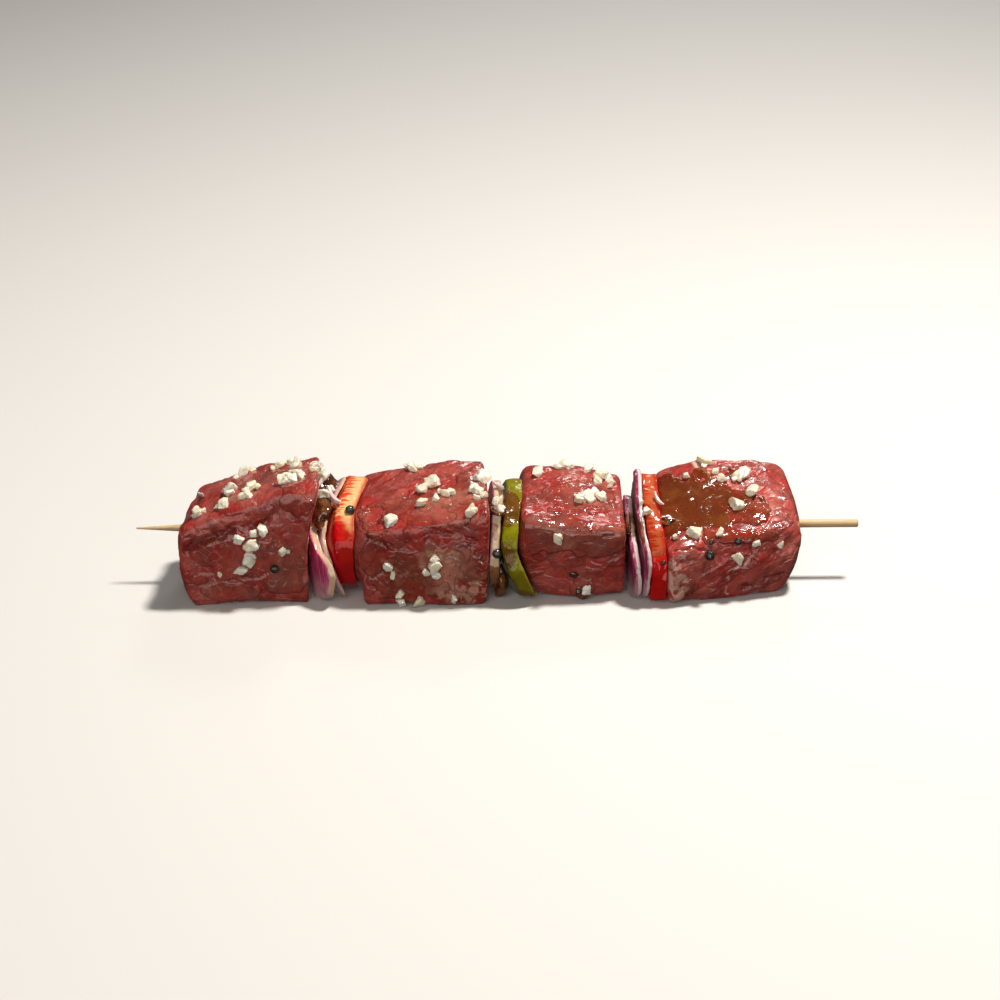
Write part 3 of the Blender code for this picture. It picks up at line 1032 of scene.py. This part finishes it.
@dataclass(frozen=True)
class Stick:
    """The bamboo stick: a slightly uneven rod with a long point at its left end."""

    length: float = 254.0
    radius: float = 1.5
    point_length: float = 19.0
    point_radius: float = 0.3
    end_bevel: float = 0.4
    sides: int = 40
    point_rings: int = 30
    rings: int = 200

    def build(self) -> None:
        """Make the stick, as rings of points with a fan over each end."""
        half = self.length / 2
        shoulder, bevel = -half + self.point_length, half - self.end_bevel
        x = np.concatenate([np.linspace(-half, shoulder, self.point_rings, endpoint=False),
                            np.linspace(shoulder, bevel, self.rings), [half]])
        radius = np.interp(x, [-half, shoulder, bevel, half],
                           [self.point_radius, self.radius, self.radius,
                            self.radius - self.end_bevel])
        angle = np.linspace(0.0, 2.0 * np.pi, self.sides, endpoint=False)[None, :]
        ripple = 1.0 - 0.04 * np.abs(noise(np.stack(np.broadcast_arrays(
            x[:, None] / 30.0, 2.2 * np.cos(angle), 2.2 * np.sin(angle)), axis=-1), 70))
        ring = np.stack(np.broadcast_arrays(
            x[:, None], radius[:, None] * ripple * np.cos(angle),
            STICK_HEIGHT + radius[:, None] * ripple * np.sin(angle)), axis=-1)
        points = np.vstack([ring.reshape(-1, 3), [[-half, 0.0, STICK_HEIGHT],
                                                  [half, 0.0, STICK_HEIGHT]]])
        last = (len(x) - 1) * self.sides
        walls = ring_faces(len(x), self.sides)[:last]
        corner = np.arange(self.sides)
        following = (corner + 1) % self.sides
        left = np.stack([following, corner, np.full(self.sides, len(points) - 2)], axis=-1)
        right = np.stack([last + corner, last + following,
                          np.full(self.sides, len(points) - 1)], axis=-1)
        faces = np.vstack([walls[:, [0, 1, 2]], walls[:, [0, 2, 3]], left, right])
        made = add_piece("skewer_dressed", points, faces, {}, bamboo_finish())
        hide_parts("skewer")


# ---------------------------------------------------------------- garlic, pepper and drops

def unit_ball(subdivisions: int) -> Arrays:
    """Points and triangles of a ball of radius 1."""
    shape = bmesh.new()
    bmesh.ops.create_icosphere(shape, subdivisions=subdivisions, radius=1.0)
    points = np.array([v.co[:] for v in shape.verts])
    faces = np.array([[v.index for v in f.verts] for f in shape.faces])
    shape.free()
    return points, faces


def chopped(ball: np.ndarray, rng: np.random.Generator, cuts: int) -> np.ndarray:
    """A ball pressed towards a wedge-shaped block, with flat cuts across its corners.

    Args:
        ball: points of a ball of radius 1.
        rng: source of the random shape.
        cuts: how many corners are cut off.

    Returns:
        The bit's points, about 1 across its middle.
    """
    block = ball / (np.abs(ball) ** 7).sum(axis=1, keepdims=True) ** (1 / 7)
    shape = block * rng.uniform(0.5, 0.85, 3)
    shape = shape * (1.0 + shape[:, [1, 2, 0]] * rng.uniform(-0.5, 0.5, 3))
    shape = shape + shape[:, [2, 0, 1]] * rng.uniform(-0.4, 0.4, 3)
    for _ in range(cuts):
        direction = rng.normal(size=3)
        direction /= np.linalg.norm(direction)
        beyond = np.maximum(shape @ direction - rng.uniform(0.4, 0.75), 0.0)
        shape = shape - beyond[:, None] * direction
    return shape * (1.0 + 0.15 * fractal(shape * 2.8, int(rng.integers(1000)))[:, None])


def sliver(ball: np.ndarray) -> np.ndarray:
    """A ball drawn out into a thin strip that curves upwards to its ends."""
    block = ball / (np.abs(ball) ** 6).sum(axis=1, keepdims=True) ** (1 / 6)
    along = block[:, :1]
    taper = 1.0 - 0.5 * along ** 2
    return np.hstack([along, 0.15 * taper * block[:, 1:2] + 0.12 * along ** 2,
                      0.24 * taper * block[:, 2:] + 0.35 * along ** 2])


def standing(shape: np.ndarray, normal: np.ndarray, rng: np.random.Generator) -> np.ndarray:
    """A shape turned so that its third axis follows a normal, at a random turn about it."""
    spin = rng.uniform(0.0, 2.0 * np.pi)
    turn = (Vector(normal).to_track_quat("Z", "Y").to_matrix()
            @ Matrix.Rotation(spin, 3, "Z") @ Matrix.Rotation(rng.normal(0.0, 0.25), 3, "X"))
    return shape @ np.array(turn).T


class Cut(Enum):
    """How a bit is shaped."""

    CHOPPED = "chopped"
    ROUND = "round"
    SLIVER = "sliver"


class Surface:
    """All the finished pieces' points, on which bits are put down.

    NEAR is how far to look round a place, in millimetres, and FACING how squarely a point
    has to face the side, as a cosine.
    """

    NEAR = 0.8
    FACING = 0.2

    def __init__(self, parts: Sequence[Arrays]) -> None:
        """Join the points and normals of the pieces."""
        self.points = np.vstack([points for points, _ in parts])
        self.normals = np.vstack([normals for _, normals in parts])

    def spot(self, face: Face, place: Sequence[float]) -> Arrays:
        """The outermost point of one side near a place in that side's own two axes."""
        axis, sign, own = face.value
        facing = self.normals[:, axis] * sign > self.FACING
        away = np.abs(self.points[:, own] - place)
        near = facing & (away.max(axis=1) < self.NEAR / DETAIL)
        if near.any():
            index = np.flatnonzero(near)[np.argmax(self.points[near, axis] * sign)]
        else:
            index = np.flatnonzero(facing)[np.argmin(away.sum(axis=1)[facing])]
        return self.points[index], self.normals[index]


@dataclass(frozen=True)
class Bits:
    """One kind of scattered bit, joined into one piece.

    The first bit of a sprinkle has its full size and the others a share of it within lesser.
    half is a bit's radius for each mm of its size, and sunk how far its middle lies outside
    the surface, as a share of its thickness.
    """

    name: str
    slot: str
    cut: Cut
    finish: MottledFinish
    flatness: float
    sunk: float
    seed: int
    sprinkles: Tuple[Sprinkle, ...]
    cuts: Tuple[int, int] = (0, 0)
    lesser: Pair = (0.5, 0.85)
    half: float = 0.53

    def shape(self, ball: np.ndarray, number: int, rng: np.random.Generator) -> np.ndarray:
        """One bit's own shape, about 1 from its middle to its outside."""
        if self.cut is Cut.CHOPPED:
            return chopped(ball, rng, int(rng.integers(*self.cuts, endpoint=True)))
        if self.cut is Cut.SLIVER:
            return sliver(ball)
        return ball * (1.0 + 0.1 * fractal(ball * 2.5 + 7.0 * number, self.seed)[:, None])

    def build(self, surface: Surface) -> None:
        """Put every bit down on the surface and join them."""
        rng = np.random.default_rng(self.seed)
        ball, faces = unit_ball(BIT_SUBDIVISIONS)
        points = []
        for sprinkle in self.sprinkles:
            for number in range(sprinkle.count):
                away = rng.uniform(-1.0, 1.0, 2) * sprinkle.radius * (number > 0)
                size = sprinkle.size * (rng.uniform(*self.lesser) if number else 1.0) * self.half
                place, normal = surface.spot(sprinkle.face, np.array(sprinkle.spot) + away)
                shape = self.shape(ball, number, rng) * (size, size, size * self.flatness)
                centre = place + normal * size * self.flatness * self.sunk
                points.append(standing(shape, normal, rng) + centre)
        joined = np.vstack([faces + k * len(ball) for k in range(len(points))])
        points = np.vstack(points)
        points[:, 2] = np.maximum(points[:, 2], 0.0)
        add_piece(self.name, points, joined, {}, self.finish.build(self.name))


@dataclass(frozen=True)
class Drop:
    """A pool or drip of marinade: a ball, stretched and wavy."""

    centre: Triple
    radii: Triple


def add_marinade(drops: Sequence[Drop], slices: Sequence[Slice]) -> Arrays:
    """Every pool and drip of marinade, and the dark sheets that fill the gaps by the slices as
    painted shade, as one piece.

    Args:
        drops: the pools and drips.
        slices: the slices whose left side is filled.

    Returns:
        The points of the pools and drips, and their normals.
    """
    ball, faces = unit_ball(DROP_SUBDIVISIONS)
    parts = [shade_juice(piece) for piece in slices]
    for k, drop in enumerate(drops):
        swell = 1.0 + 0.3 * fractal(ball * 1.5 + 9.0 * k, 80, 1)[:, None]
        parts.append((ball * swell * np.array(drop.radii) + drop.centre, faces))
    starts = np.cumsum([0] + [len(points) for points, _ in parts])
    points = np.vstack([points for points, _ in parts])
    joined = np.vstack([part + start for (_, part), start in zip(parts, starts)])
    points[:, 2] = np.maximum(points[:, 2], 0.0)
    add_piece("marinade", points, joined, {}, MARINADE_FINISH.build("marinade"))
    normals = np.vstack([ball / np.array(drop.radii) for drop in drops])
    normals /= np.linalg.norm(normals, axis=1, keepdims=True)
    return points[-len(normals):], normals


# ---------------------------------------------------------------- this kebab

PEPPER_1_BEND = Bend(lean=0.25, bow=0.022, flare=0.018, twist=0.016)
PEPPER_GREEN_BEND = Bend(lean=0.05, bow=0.009, flare=0.002, twist=0.016)
PEPPER_2_BEND = Bend(turn=-0.01, lean=0.01, flare=0.006)

# Pale mauve and grey films: partly the marinade's own colour and partly painted sheen, the sky
# reflected in the wet film on the fronts.
MAUVE_SHEEN_FILM = Film(amber=(0.84, 0.66, 0.57), brown=(0.26, 0.085, 0.062),
                  light=(0.40, 0.19, 0.14), thick=0.5, contour=0.5)
GREY_SHEEN_FILM = Film(amber=(0.90, 0.78, 0.64), brown=(0.15, 0.046, 0.026),
                 light=(0.50, 0.27, 0.19), thick=0.5, contour=0.45)
DARK_FILM = Film(light=(0.19, 0.058, 0.012), thick=0.78)
# A brighter, more mauve copy of the beef for cube 4: partly its own mauve colour and partly
# painted light from the key on its right-turned front.
MAUVE_PAINTED_LIGHT_BEEF = BeefFinish(red=(0.45, 0.038, 0.030), mauve=(0.50, 0.12, 0.09), film=DARK_FILM)

BEEF = {
    "beef_1": Beef(
        left=-108.6, right=-67.0, front=(-22.5, -21.5), back=(19.0, 21.0),
        top_front=(28.0, 43.0), top_back=(29.0, 39.5), crown_front=2.5, crown_back=1.5,
        front_lean=0.06, left_bend=Bend(turn=0.1, bow=0.012),
        right_bend=Bend(lean=0.1, bow=0.006, flare=0.006),
        dome=(1.2, 0.0), seed=1, grain=(0.25, 0.9, 0.25), cut_relief=(1.0, 0.25),
        finish=BeefFinish(film=MAUVE_SHEEN_FILM),
        sauce=(Patch((-74, -22, 12), (8, 4, 8), 0.9), Patch((-84, 0, 38), (13, 8, 5), 0.4),
               Patch((-70, -14, 38), (6, 12, 6), 0.5), Patch((-86, -22, 17), (13, 5, 9), 0.2),
               Patch((-101, -18, 22), (5, 8, 8), 0.2), Patch((-92, -23, 5), (9, 4, 4), 0.25),
               Patch((-84, 20, 26), (14, 6, 9), 0.6)),
        painted_shade_creases=(Seam((-107, -23, 21), (-92, -23, 27), 3.0),
                 Seam((-92, -23, 27), (-71, -22, 34), 3.0))),
    "beef_2": Beef(
        left=-54.1, right=-4.4, front=(-23.5, -24.0), back=(20.0, 21.5),
        top_front=(27.5, 34.0), top_back=(33.0, 38.0), crown_back=1.5, front_lean=0.06,
        left_bend=replace(PEPPER_1_BEND, most=7.0),
        right_bend=Bend(turn=-0.04, lean=0.03), seed=2,
        grain=(0.58, 0.8, 0.15),
        sauce=(Patch((-24, -14, 32), (24, 10, 5), 0.45), Patch((-24, -24, 12), (21, 5, 9), 0.9),
               Patch((-12, -24, 4), (9, 5, 6), 0.75),
               Patch((-10, -5, 35), (8, 12, 6), 0.6), Patch((-44, -20, 18), (5, 9, 9), 0.5),
               Patch((-20, 20, 22), (14, 5, 12), 0.5)),
        painted_shade_creases=(Seam((-46, -22, 26), (-36, -24, 21), 1.4),
                 Seam((-20, -24, 27), (-8, -24, 24), 1.4)),
        finish=BeefFinish(film=GREY_SHEEN_FILM),
        fat=(Patch((-22, -25, 12), (17, 4, 8), 0.3), Patch((-12, -25, 5), (10, 4, 5), 1.0),
             Patch((-17, -25, 17), (10, 4, 5), 0.95), Patch((-30, -25, 12), (6, 4, 5), 0.5))),
    "beef_3": Beef(
        left=6.2, right=43.9, front=(-20.5, -20.0), back=(19.0, 19.0),
        top_front=(29.0, 25.5), top_back=(36.0, 31.0), foot_front=(1.0, 1.0),
        front_lean=-0.04, crown_back=3.5,
        left_bend=PEPPER_GREEN_BEND, right_bend=Bend(bow=-0.001), seed=3,
        grain=(0.9, 0.35, 0.15),
        sauce=(Patch((21, -20, 24), (15, 8, 8), 0.8), Patch((33, -20, 22), (12, 6, 6), 0.7),
               Patch((28, -21, 4), (5, 4, 5), 0.6), Patch((28, -2, 30), (16, 12, 5), 0.4),
               Patch((22, 18, 18), (12, 5, 10), 0.6)),
        painted_shade_creases=(Seam((22, -21, 26), (38, -20, 24), 1.5),),
        finish=BeefFinish(film=MAUVE_SHEEN_FILM)),
    "beef_4": Beef(
        left=56.5, right=104.0, front=(-26.0, -15.5), back=(20.0, 20.0),
        top_front=(19.0, 24.0), top_back=(34.0, 35.0), front_lean=0.05,
        crown_front=1.5, crown_back=4.0,
        left_bend=Bend(turn=-0.01, lean=0.01, flare=0.005), right_bend=Bend(bow=-0.013),
        dome=(0.0, 2.0), seed=4, grain=(0.8, 0.35, 0.42), cut_relief=(0.25, 1.0),
        sauce=(Patch((69, -2, 29), (19, 20, 9)), Patch((86, -8, 26), (9, 7, 5), 0.55),
               Patch((80, -17, 22), (14, 4, 3), 0.5), Patch((66, -25, 6), (2.5, 3, 3.5), 0.3),
               Patch((74, 19, 24), (12, 5, 12), 0.5)),
        fat=(Patch((61, -25, 10), (6, 4, 9), 0.95),),
        painted_shade_creases=(Seam((84, -20, 4), (103, -14, 9), 1.8), Seam((60, -24, 20), (74, -22, 20), 1.2)),
        seams=(Seam((69, 18, 37), (76, 7, 33), 1.4), Seam((75, -21, 16), (80, -21, 10), 1.4),
               Seam((80, -21, 10), (87, -20, 14), 1.4), Seam((80, -21, 10), (79, -21, 3), 1.4),
               Seam((58, -25, 17), (60, -26, 3), 1.6), Seam((60, -26, 3), (67, -25, 2), 1.4),
               Seam((58, -25, 17), (66, -24, 13), 1.2)), finish=MAUVE_PAINTED_LIGHT_BEEF),
}

TAN_EDGE = OnionFinish()
PALE_LAYER = OnionFinish(purple=0.35)
CREAM_LAYER = OnionFinish(purple=0.3, cut=(0.70, 0.50, 0.30))
PURPLE_LAYER = OnionFinish(skin=(0.46, 0.06, 0.15), streak=(0.25, 0.02, 0.075),
                           pale=(0.74, 0.50, 0.58), wrap=0.0, cut=(0.78, 0.60, 0.57), tan=0.9)

SLICES = {
    "onion_1_outer": (Slice(
        x=-65.2, wall=2.6, bend=Bend(lean=0.1, bow=0.006, flare=0.0205), seed=31,
        outline=((-27.0, 14.5), (-24.0, 0.3), (-6.0, 0.3), (15.0, 4.0), (19.0, 18.0),
                 (12.0, 30.0), (-6.0, 25.0))), TAN_EDGE, "onion"),
    "onion_1_inner": (Slice(
        x=-62.6, wall=1.4, bend=Bend(lean=0.22, bow=0.021, flare=0.019, twist=0.0116), seed=32,
        outline=((-22.5, 15.0), (-21.0, 0.5), (-6.0, 0.5), (13.0, 4.0), (17.0, 18.0),
                 (9.0, 37.0), (-4.0, 31.0))), PALE_LAYER, "onion"),
    "pepper_red_1": (Slice(
        x=-57.9, wall=6.7, bend=PEPPER_1_BEND, seed=33,
        outline=((-23.5, 22.5), (-18.0, 4.0), (-6.0, 1.0), (14.0, 3.0), (19.0, 18.0),
                 (12.0, 37.0), (-8.0, 31.0)), corner_radius=9.0),
        # Its lower part is painted deep, as painted shade towards the floor.
        replace(RED_PEPPER, skin=(0.56, 0.003, 0.006), deep=(0.38, 0.002, 0.007),
                inside_above=0.032, shade_below=0.022),
        "red_pepper"),
    "onion_2": (Slice(
        x=-2.1, wall=3.2, bend=Bend(turn=-0.03, lean=0.06, bow=0.003), seed=34,
        outline=((-23.0, 17.0), (-20.0, 5.0), (-4.0, 1.0), (13.0, 3.0), (18.0, 18.0),
                 (8.0, 35.0), (-13.0, 36.5)),
        sauce=(Patch((-2, -21, 8), (4, 5, 6), 0.9), Patch((-3, -20, 25), (3, 4, 3), 0.4))),
        CREAM_LAYER, "onion"),
    "pepper_green": (Slice(
        x=2.95, wall=5.4, bend=PEPPER_GREEN_BEND, seed=35,
        outline=((-22.0, 26.0), (-26.0, 12.0), (-24.5, 2.0), (-6.0, 0.5), (14.0, 3.0),
                 (18.0, 18.0), (10.0, 35.0), (-10.0, 34.0)),
        sauce=(Patch((3, -12, 32), (5, 8, 6), 0.9), Patch((2, -26, 19), (3, 4, 7), 0.5),
               Patch((8, -24, 3), (4, 3, 3), 0.4))), GREEN_PEPPER, "green_pepper"),
    "onion_3_outer": (Slice(
        x=45.75, wall=2.5, bend=Bend(flare=0.005, twist=0.002), seed=36,
        sauce=(Patch((45, -12, 24), (4, 6, 5), 0.6),),
        outline=((-23.5, 17.0), (-26.0, 9.0), (-23.5, 0.5), (-6.0, 0.5), (12.0, 3.0),
                 (16.0, 18.0), (8.0, 29.0), (-9.0, 25.5))), PURPLE_LAYER, "onion"),
    "onion_3_inner": (Slice(
        x=48.6, wall=2.1, bend=Bend(lean=0.01, bow=0.001, flare=0.007), seed=37,
        sauce=(Patch((47.5, -14, 24), (4, 9, 5), 0.7),),
        outline=((-27.5, 18.5), (-23.5, 0.3), (-6.0, 0.5), (12.0, 3.0), (17.0, 18.0),
                 (7.0, 40.0), (-4.0, 35.0))), PURPLE_LAYER, "onion"),
    "pepper_red_2": (Slice(
        x=53.1, wall=5.4, bend=PEPPER_2_BEND, seed=38,
        outline=((-23.0, 21.0), (-26.5, 10.0), (-25.0, 0.0), (-6.0, 0.5), (12.0, 3.0),
                 (17.0, 18.0), (9.0, 37.0), (-6.0, 33.0))),
        replace(RED_PEPPER, skin=(0.70, 0.003, 0.006), flesh=(0.44, 0.022, 0.006),
                inside=(0.52, 0.11, 0.035), inside_above=0.022), "red_pepper"),
}

GARLIC = Bits(
    name="garlic", slot="garlic", cut=Cut.CHOPPED, finish=GARLIC_FINISH, cuts=(3, 6),
    flatness=0.8, sunk=0.35, seed=11, sprinkles=(
        *sprinkled(Face.TOP, (-104, -13, 3, 2.5, 6), (-94, -3, 4, 2.5, 6.5), (-95, -16, 2, 2, 5),
                   (-86, -6, 4, 2.5, 5.5), (-74, -9, 4, 2.5, 6), (-77, 10, 3, 4, 5),
                   (-61.5, -2, 6, 4.5, 5.5), (-88, -15, 2, 2, 4)),
        *sprinkled(Face.FRONT, (-90, 25, 2, 3, 4.5), (-85, 23, 2, 2, 6.5), (-82, 28, 2, 2, 4.5),
                   (-86, 18, 3, 2.5, 5), (-74, 20, 2, 1.5, 4), (-89, 14, 1, 0, 4.5),
                   (-97, 12, 1, 0, 3)),
        *sprinkled(Face.TOP, (-23, 1, 1, 0, 6.5), (-27, -4, 1, 0, 6), (-18, -6, 4, 4, 5),
                   (-8, -8, 5, 4, 5.5), (-5, 1, 2, 1.5, 6.5), (-27, -12, 2, 2, 5),
                   (-38, -20, 2, 2.5, 6), (-9, -21, 1, 0, 6)),
        *sprinkled(Face.FRONT, (-38, 14, 3, 2, 4.5), (-22, 15, 4, 3, 6), (-35, 5, 1, 0, 4),
                   (-34, 1, 1, 0, 4), (-28, 1, 1, 0, 4.5), (-15, 2, 1, 0, 3)),
        *sprinkled(Face.TOP, (14, 9, 2, 2, 5), (37, 12, 8, 4.5, 5.5), (32, -4, 7, 4.5, 6)),
        *sprinkled(Face.FRONT, (20, 23, 1, 0, 5), (31, 4, 1, 0, 4.5)),
        *sprinkled(Face.TOP, (66, 9, 1, 0, 3.5), (79, 7, 1, 0, 5), (86, 9, 3, 2.5, 6),
                   (90, 1, 1, 0, 6.5), (83, -6, 1, 0, 6), (60, -19, 1, 0, 3)),
        *sprinkled(Face.FRONT, (68, 24, 2, 2, 5.5), (76, 24, 1, 0, 4), (90, 20, 1, 0, 3.5),
                   (83, 16, 1, 0, 4.5), (98, 19, 1, 0, 3)),
        *sprinkled(Face.TOP, (51, -12, 2, 3, 4), (-90, 14, 3, 4, 5), (-30, 14, 4, 6, 5),
                   (24, 14, 3, 4, 5), (74, 15, 3, 5, 5)),
        *sprinkled(Face.BACK, (-86, 22, 3, 8, 5), (-26, 20, 4, 9, 5), (26, 20, 2, 7, 5),
                   (80, 18, 3, 8, 5)),
        *sprinkled(Face.TOP, (-70, -5, 3, 2, 6.5), (-71, 5, 2, 2, 6), (-1.5, -14, 2, 2, 4),
                   (-62, 5, 5, 3, 6)),
    ))

SLIVERS = Bits(
    name="onion_sliver", slot="onion", cut=Cut.SLIVER, finish=SLIVER_FINISH,
    flatness=1.0, sunk=0.2, seed=13, sprinkles=(
        *sprinkled(Face.TOP, (-57, -4, 1, 0, 9), (-104, 3, 1, 0, 6), (-61, 3, 1, 0, 6),
                   (55, -9, 1, 0, 6), (1, -7, 1, 0, 8)),
    ))

PEPPERCORNS = Bits(
    name="peppercorn", slot="peppercorn", cut=Cut.ROUND, finish=PEPPERCORN_FINISH,
    flatness=0.95, sunk=0.5, seed=12, sprinkles=(
        *sprinkled(Face.FRONT, (-77, 14, 1, 0, 3)),
        *sprinkled(Face.TOP, (-51, -11, 1, 0, 3.2)),
        *sprinkled(Face.FRONT, (-1, 19, 1, 0, 3.2), (73, 18, 1, 0, 3.4), (83, 22, 1, 0, 2.6),
                   (73, 22, 1, 0, 1.6), (57, 16, 1, 0, 1.6)),
        *sprinkled(Face.BACK, (-70, 26, 1, 0, 3), (40, 14, 1, 0, 3)),
    ))

DROPS = (
    Drop((-61.0, 0.0, 26.5), (4.8, 12.5, 5.2)), Drop((0.0, -11.0, 31.0), (3.4, 7.0, 1.3)),
    Drop((29.0, -20.6, 2.6), (2.4, 0.9, 2.4)), Drop((0.6, -17.0, 5.5), (2.4, 4.5, 6.0)),
    Drop((0.2, -13.0, 20.0), (0.9, 7.0, 8.0)), Drop((59.0, -8.0, 24.5), (3.4, 3.6, 1.5)),
    Drop((45.0, -10.0, 24.0), (1.2, 9.0, 3.0)), Drop((26.0, -20.8, 9.5), (1.6, 0.6, 1.2)),
    Drop((-60.0, 7.0, 31.5), (4.6, 6.5, 4.2)))


# ---------------------------------------------------------------- studio

# Places in metres, angles in degrees, and the lens in millimetres.
AIM = (0.0, 0.0, 0.02)
CAMERA_PLACE = (-0.01577813, -0.88256808, 0.38945692)
CAMERA_TILT = 67.8
CAMERA_TURN = -1.06815
LENS = 97.88
FLOOR_DROP = 0.0003


@dataclass(frozen=True)
class Lamp:
    """A square lamp that faces the kebab: its place and side in metres, its power in watts."""

    name: str
    place: Triple
    size: float
    power: float
    colour: Colour

    def hang(self) -> None:
        """Put the lamp in the scene."""
        light = bpy.data.lights.new(self.name, "AREA")
        light.size, light.energy, light.color = self.size, self.power, self.colour
        made = bpy.data.objects.new(self.name, light)
        made.location = self.place
        towards = Vector(AIM) - Vector(self.place)
        made.rotation_euler = towards.to_track_quat("-Z", "Y").to_euler()
        bpy.context.scene.collection.objects.link(made)


LAMPS = (Lamp("key", (0.34, 0.14, 1.0), 0.14, 13.5, (1.0, 0.95, 0.88)),
         Lamp("strip", (0.25, 1.3, 0.75), 0.3, 2.6, (1.0, 0.97, 0.93)),
         Lamp("card", (0.45, -1.25, 0.2), 0.5, 2.6, (1.0, 0.94, 0.90)),
         Lamp("fill", (-0.35, -1.1, 0.55), 0.9, 5.5, (1.0, 0.94, 0.88)))


def studio() -> None:
    """A pale floor, soft light from the upper right, a front fill, and the camera."""
    bpy.ops.mesh.primitive_plane_add(size=6.0, location=(0.0, 1.5, -FLOOR_DROP))
    floor = bpy.context.object
    floor.name = "floor"
    w = Wiring("floor")
    w.set(Base_Color=(0.78, 0.77, 0.75), Roughness=0.7)
    floor.data.materials.append(w.material)
    floor.visible_glossy = False
    floor.visible_diffuse = False
    for lamp in LAMPS:
        lamp.hang()
    world = bpy.data.worlds.new("studio")
    world.use_nodes = True
    sky = world.node_tree.nodes["Background"]
    sky.inputs["Color"].default_value = (1.0, 0.95, 0.9, 1.0)
    sky.inputs["Strength"].default_value = 0.07
    bpy.context.scene.world = world
    bpy.context.scene.view_settings.view_transform = "Standard"
    lens = bpy.data.cameras.new("camera")
    lens.lens, lens.sensor_width = LENS, 36.0
    camera = bpy.data.objects.new("camera", lens)
    camera.location = np.add(CAMERA_PLACE, (0.0, STICK_BACK * MM, 0.0))
    camera.rotation_euler = (math.radians(CAMERA_TILT), 0.0, math.radians(CAMERA_TURN))
    bpy.context.scene.collection.objects.link(camera)
    bpy.context.scene.camera = camera


def main() -> None:
    """Build the kebab piece by piece, then the studio round it."""
    logging.basicConfig(level=logging.INFO, format="%(name)s: %(message)s")
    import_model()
    Stick().build()
    parts = [beef.build(name) for name, beef in BEEF.items()]
    parts += [piece.build(name, finish.build(name), slot)
              for name, (piece, finish, slot) in SLICES.items()]
    slices = {name: piece for name, (piece, _, _) in SLICES.items()}
    # Dark marinade sheets beside each slice, and on the right of each pepper, as painted shade in
    # the gaps.
    pools = add_marinade(DROPS, list(slices.values()) + [
        replace(slices[name], x=slices[name].x + slices[name].wall + 2 * JUICE_OFFSET)
        for name in ("pepper_red_1", "pepper_green", "pepper_red_2")])
    surface = Surface(parts + [pools])
    for bits in (GARLIC, SLIVERS, PEPPERCORNS):
        bits.build(surface)
    studio()


if __name__ == "__main__":
    main()
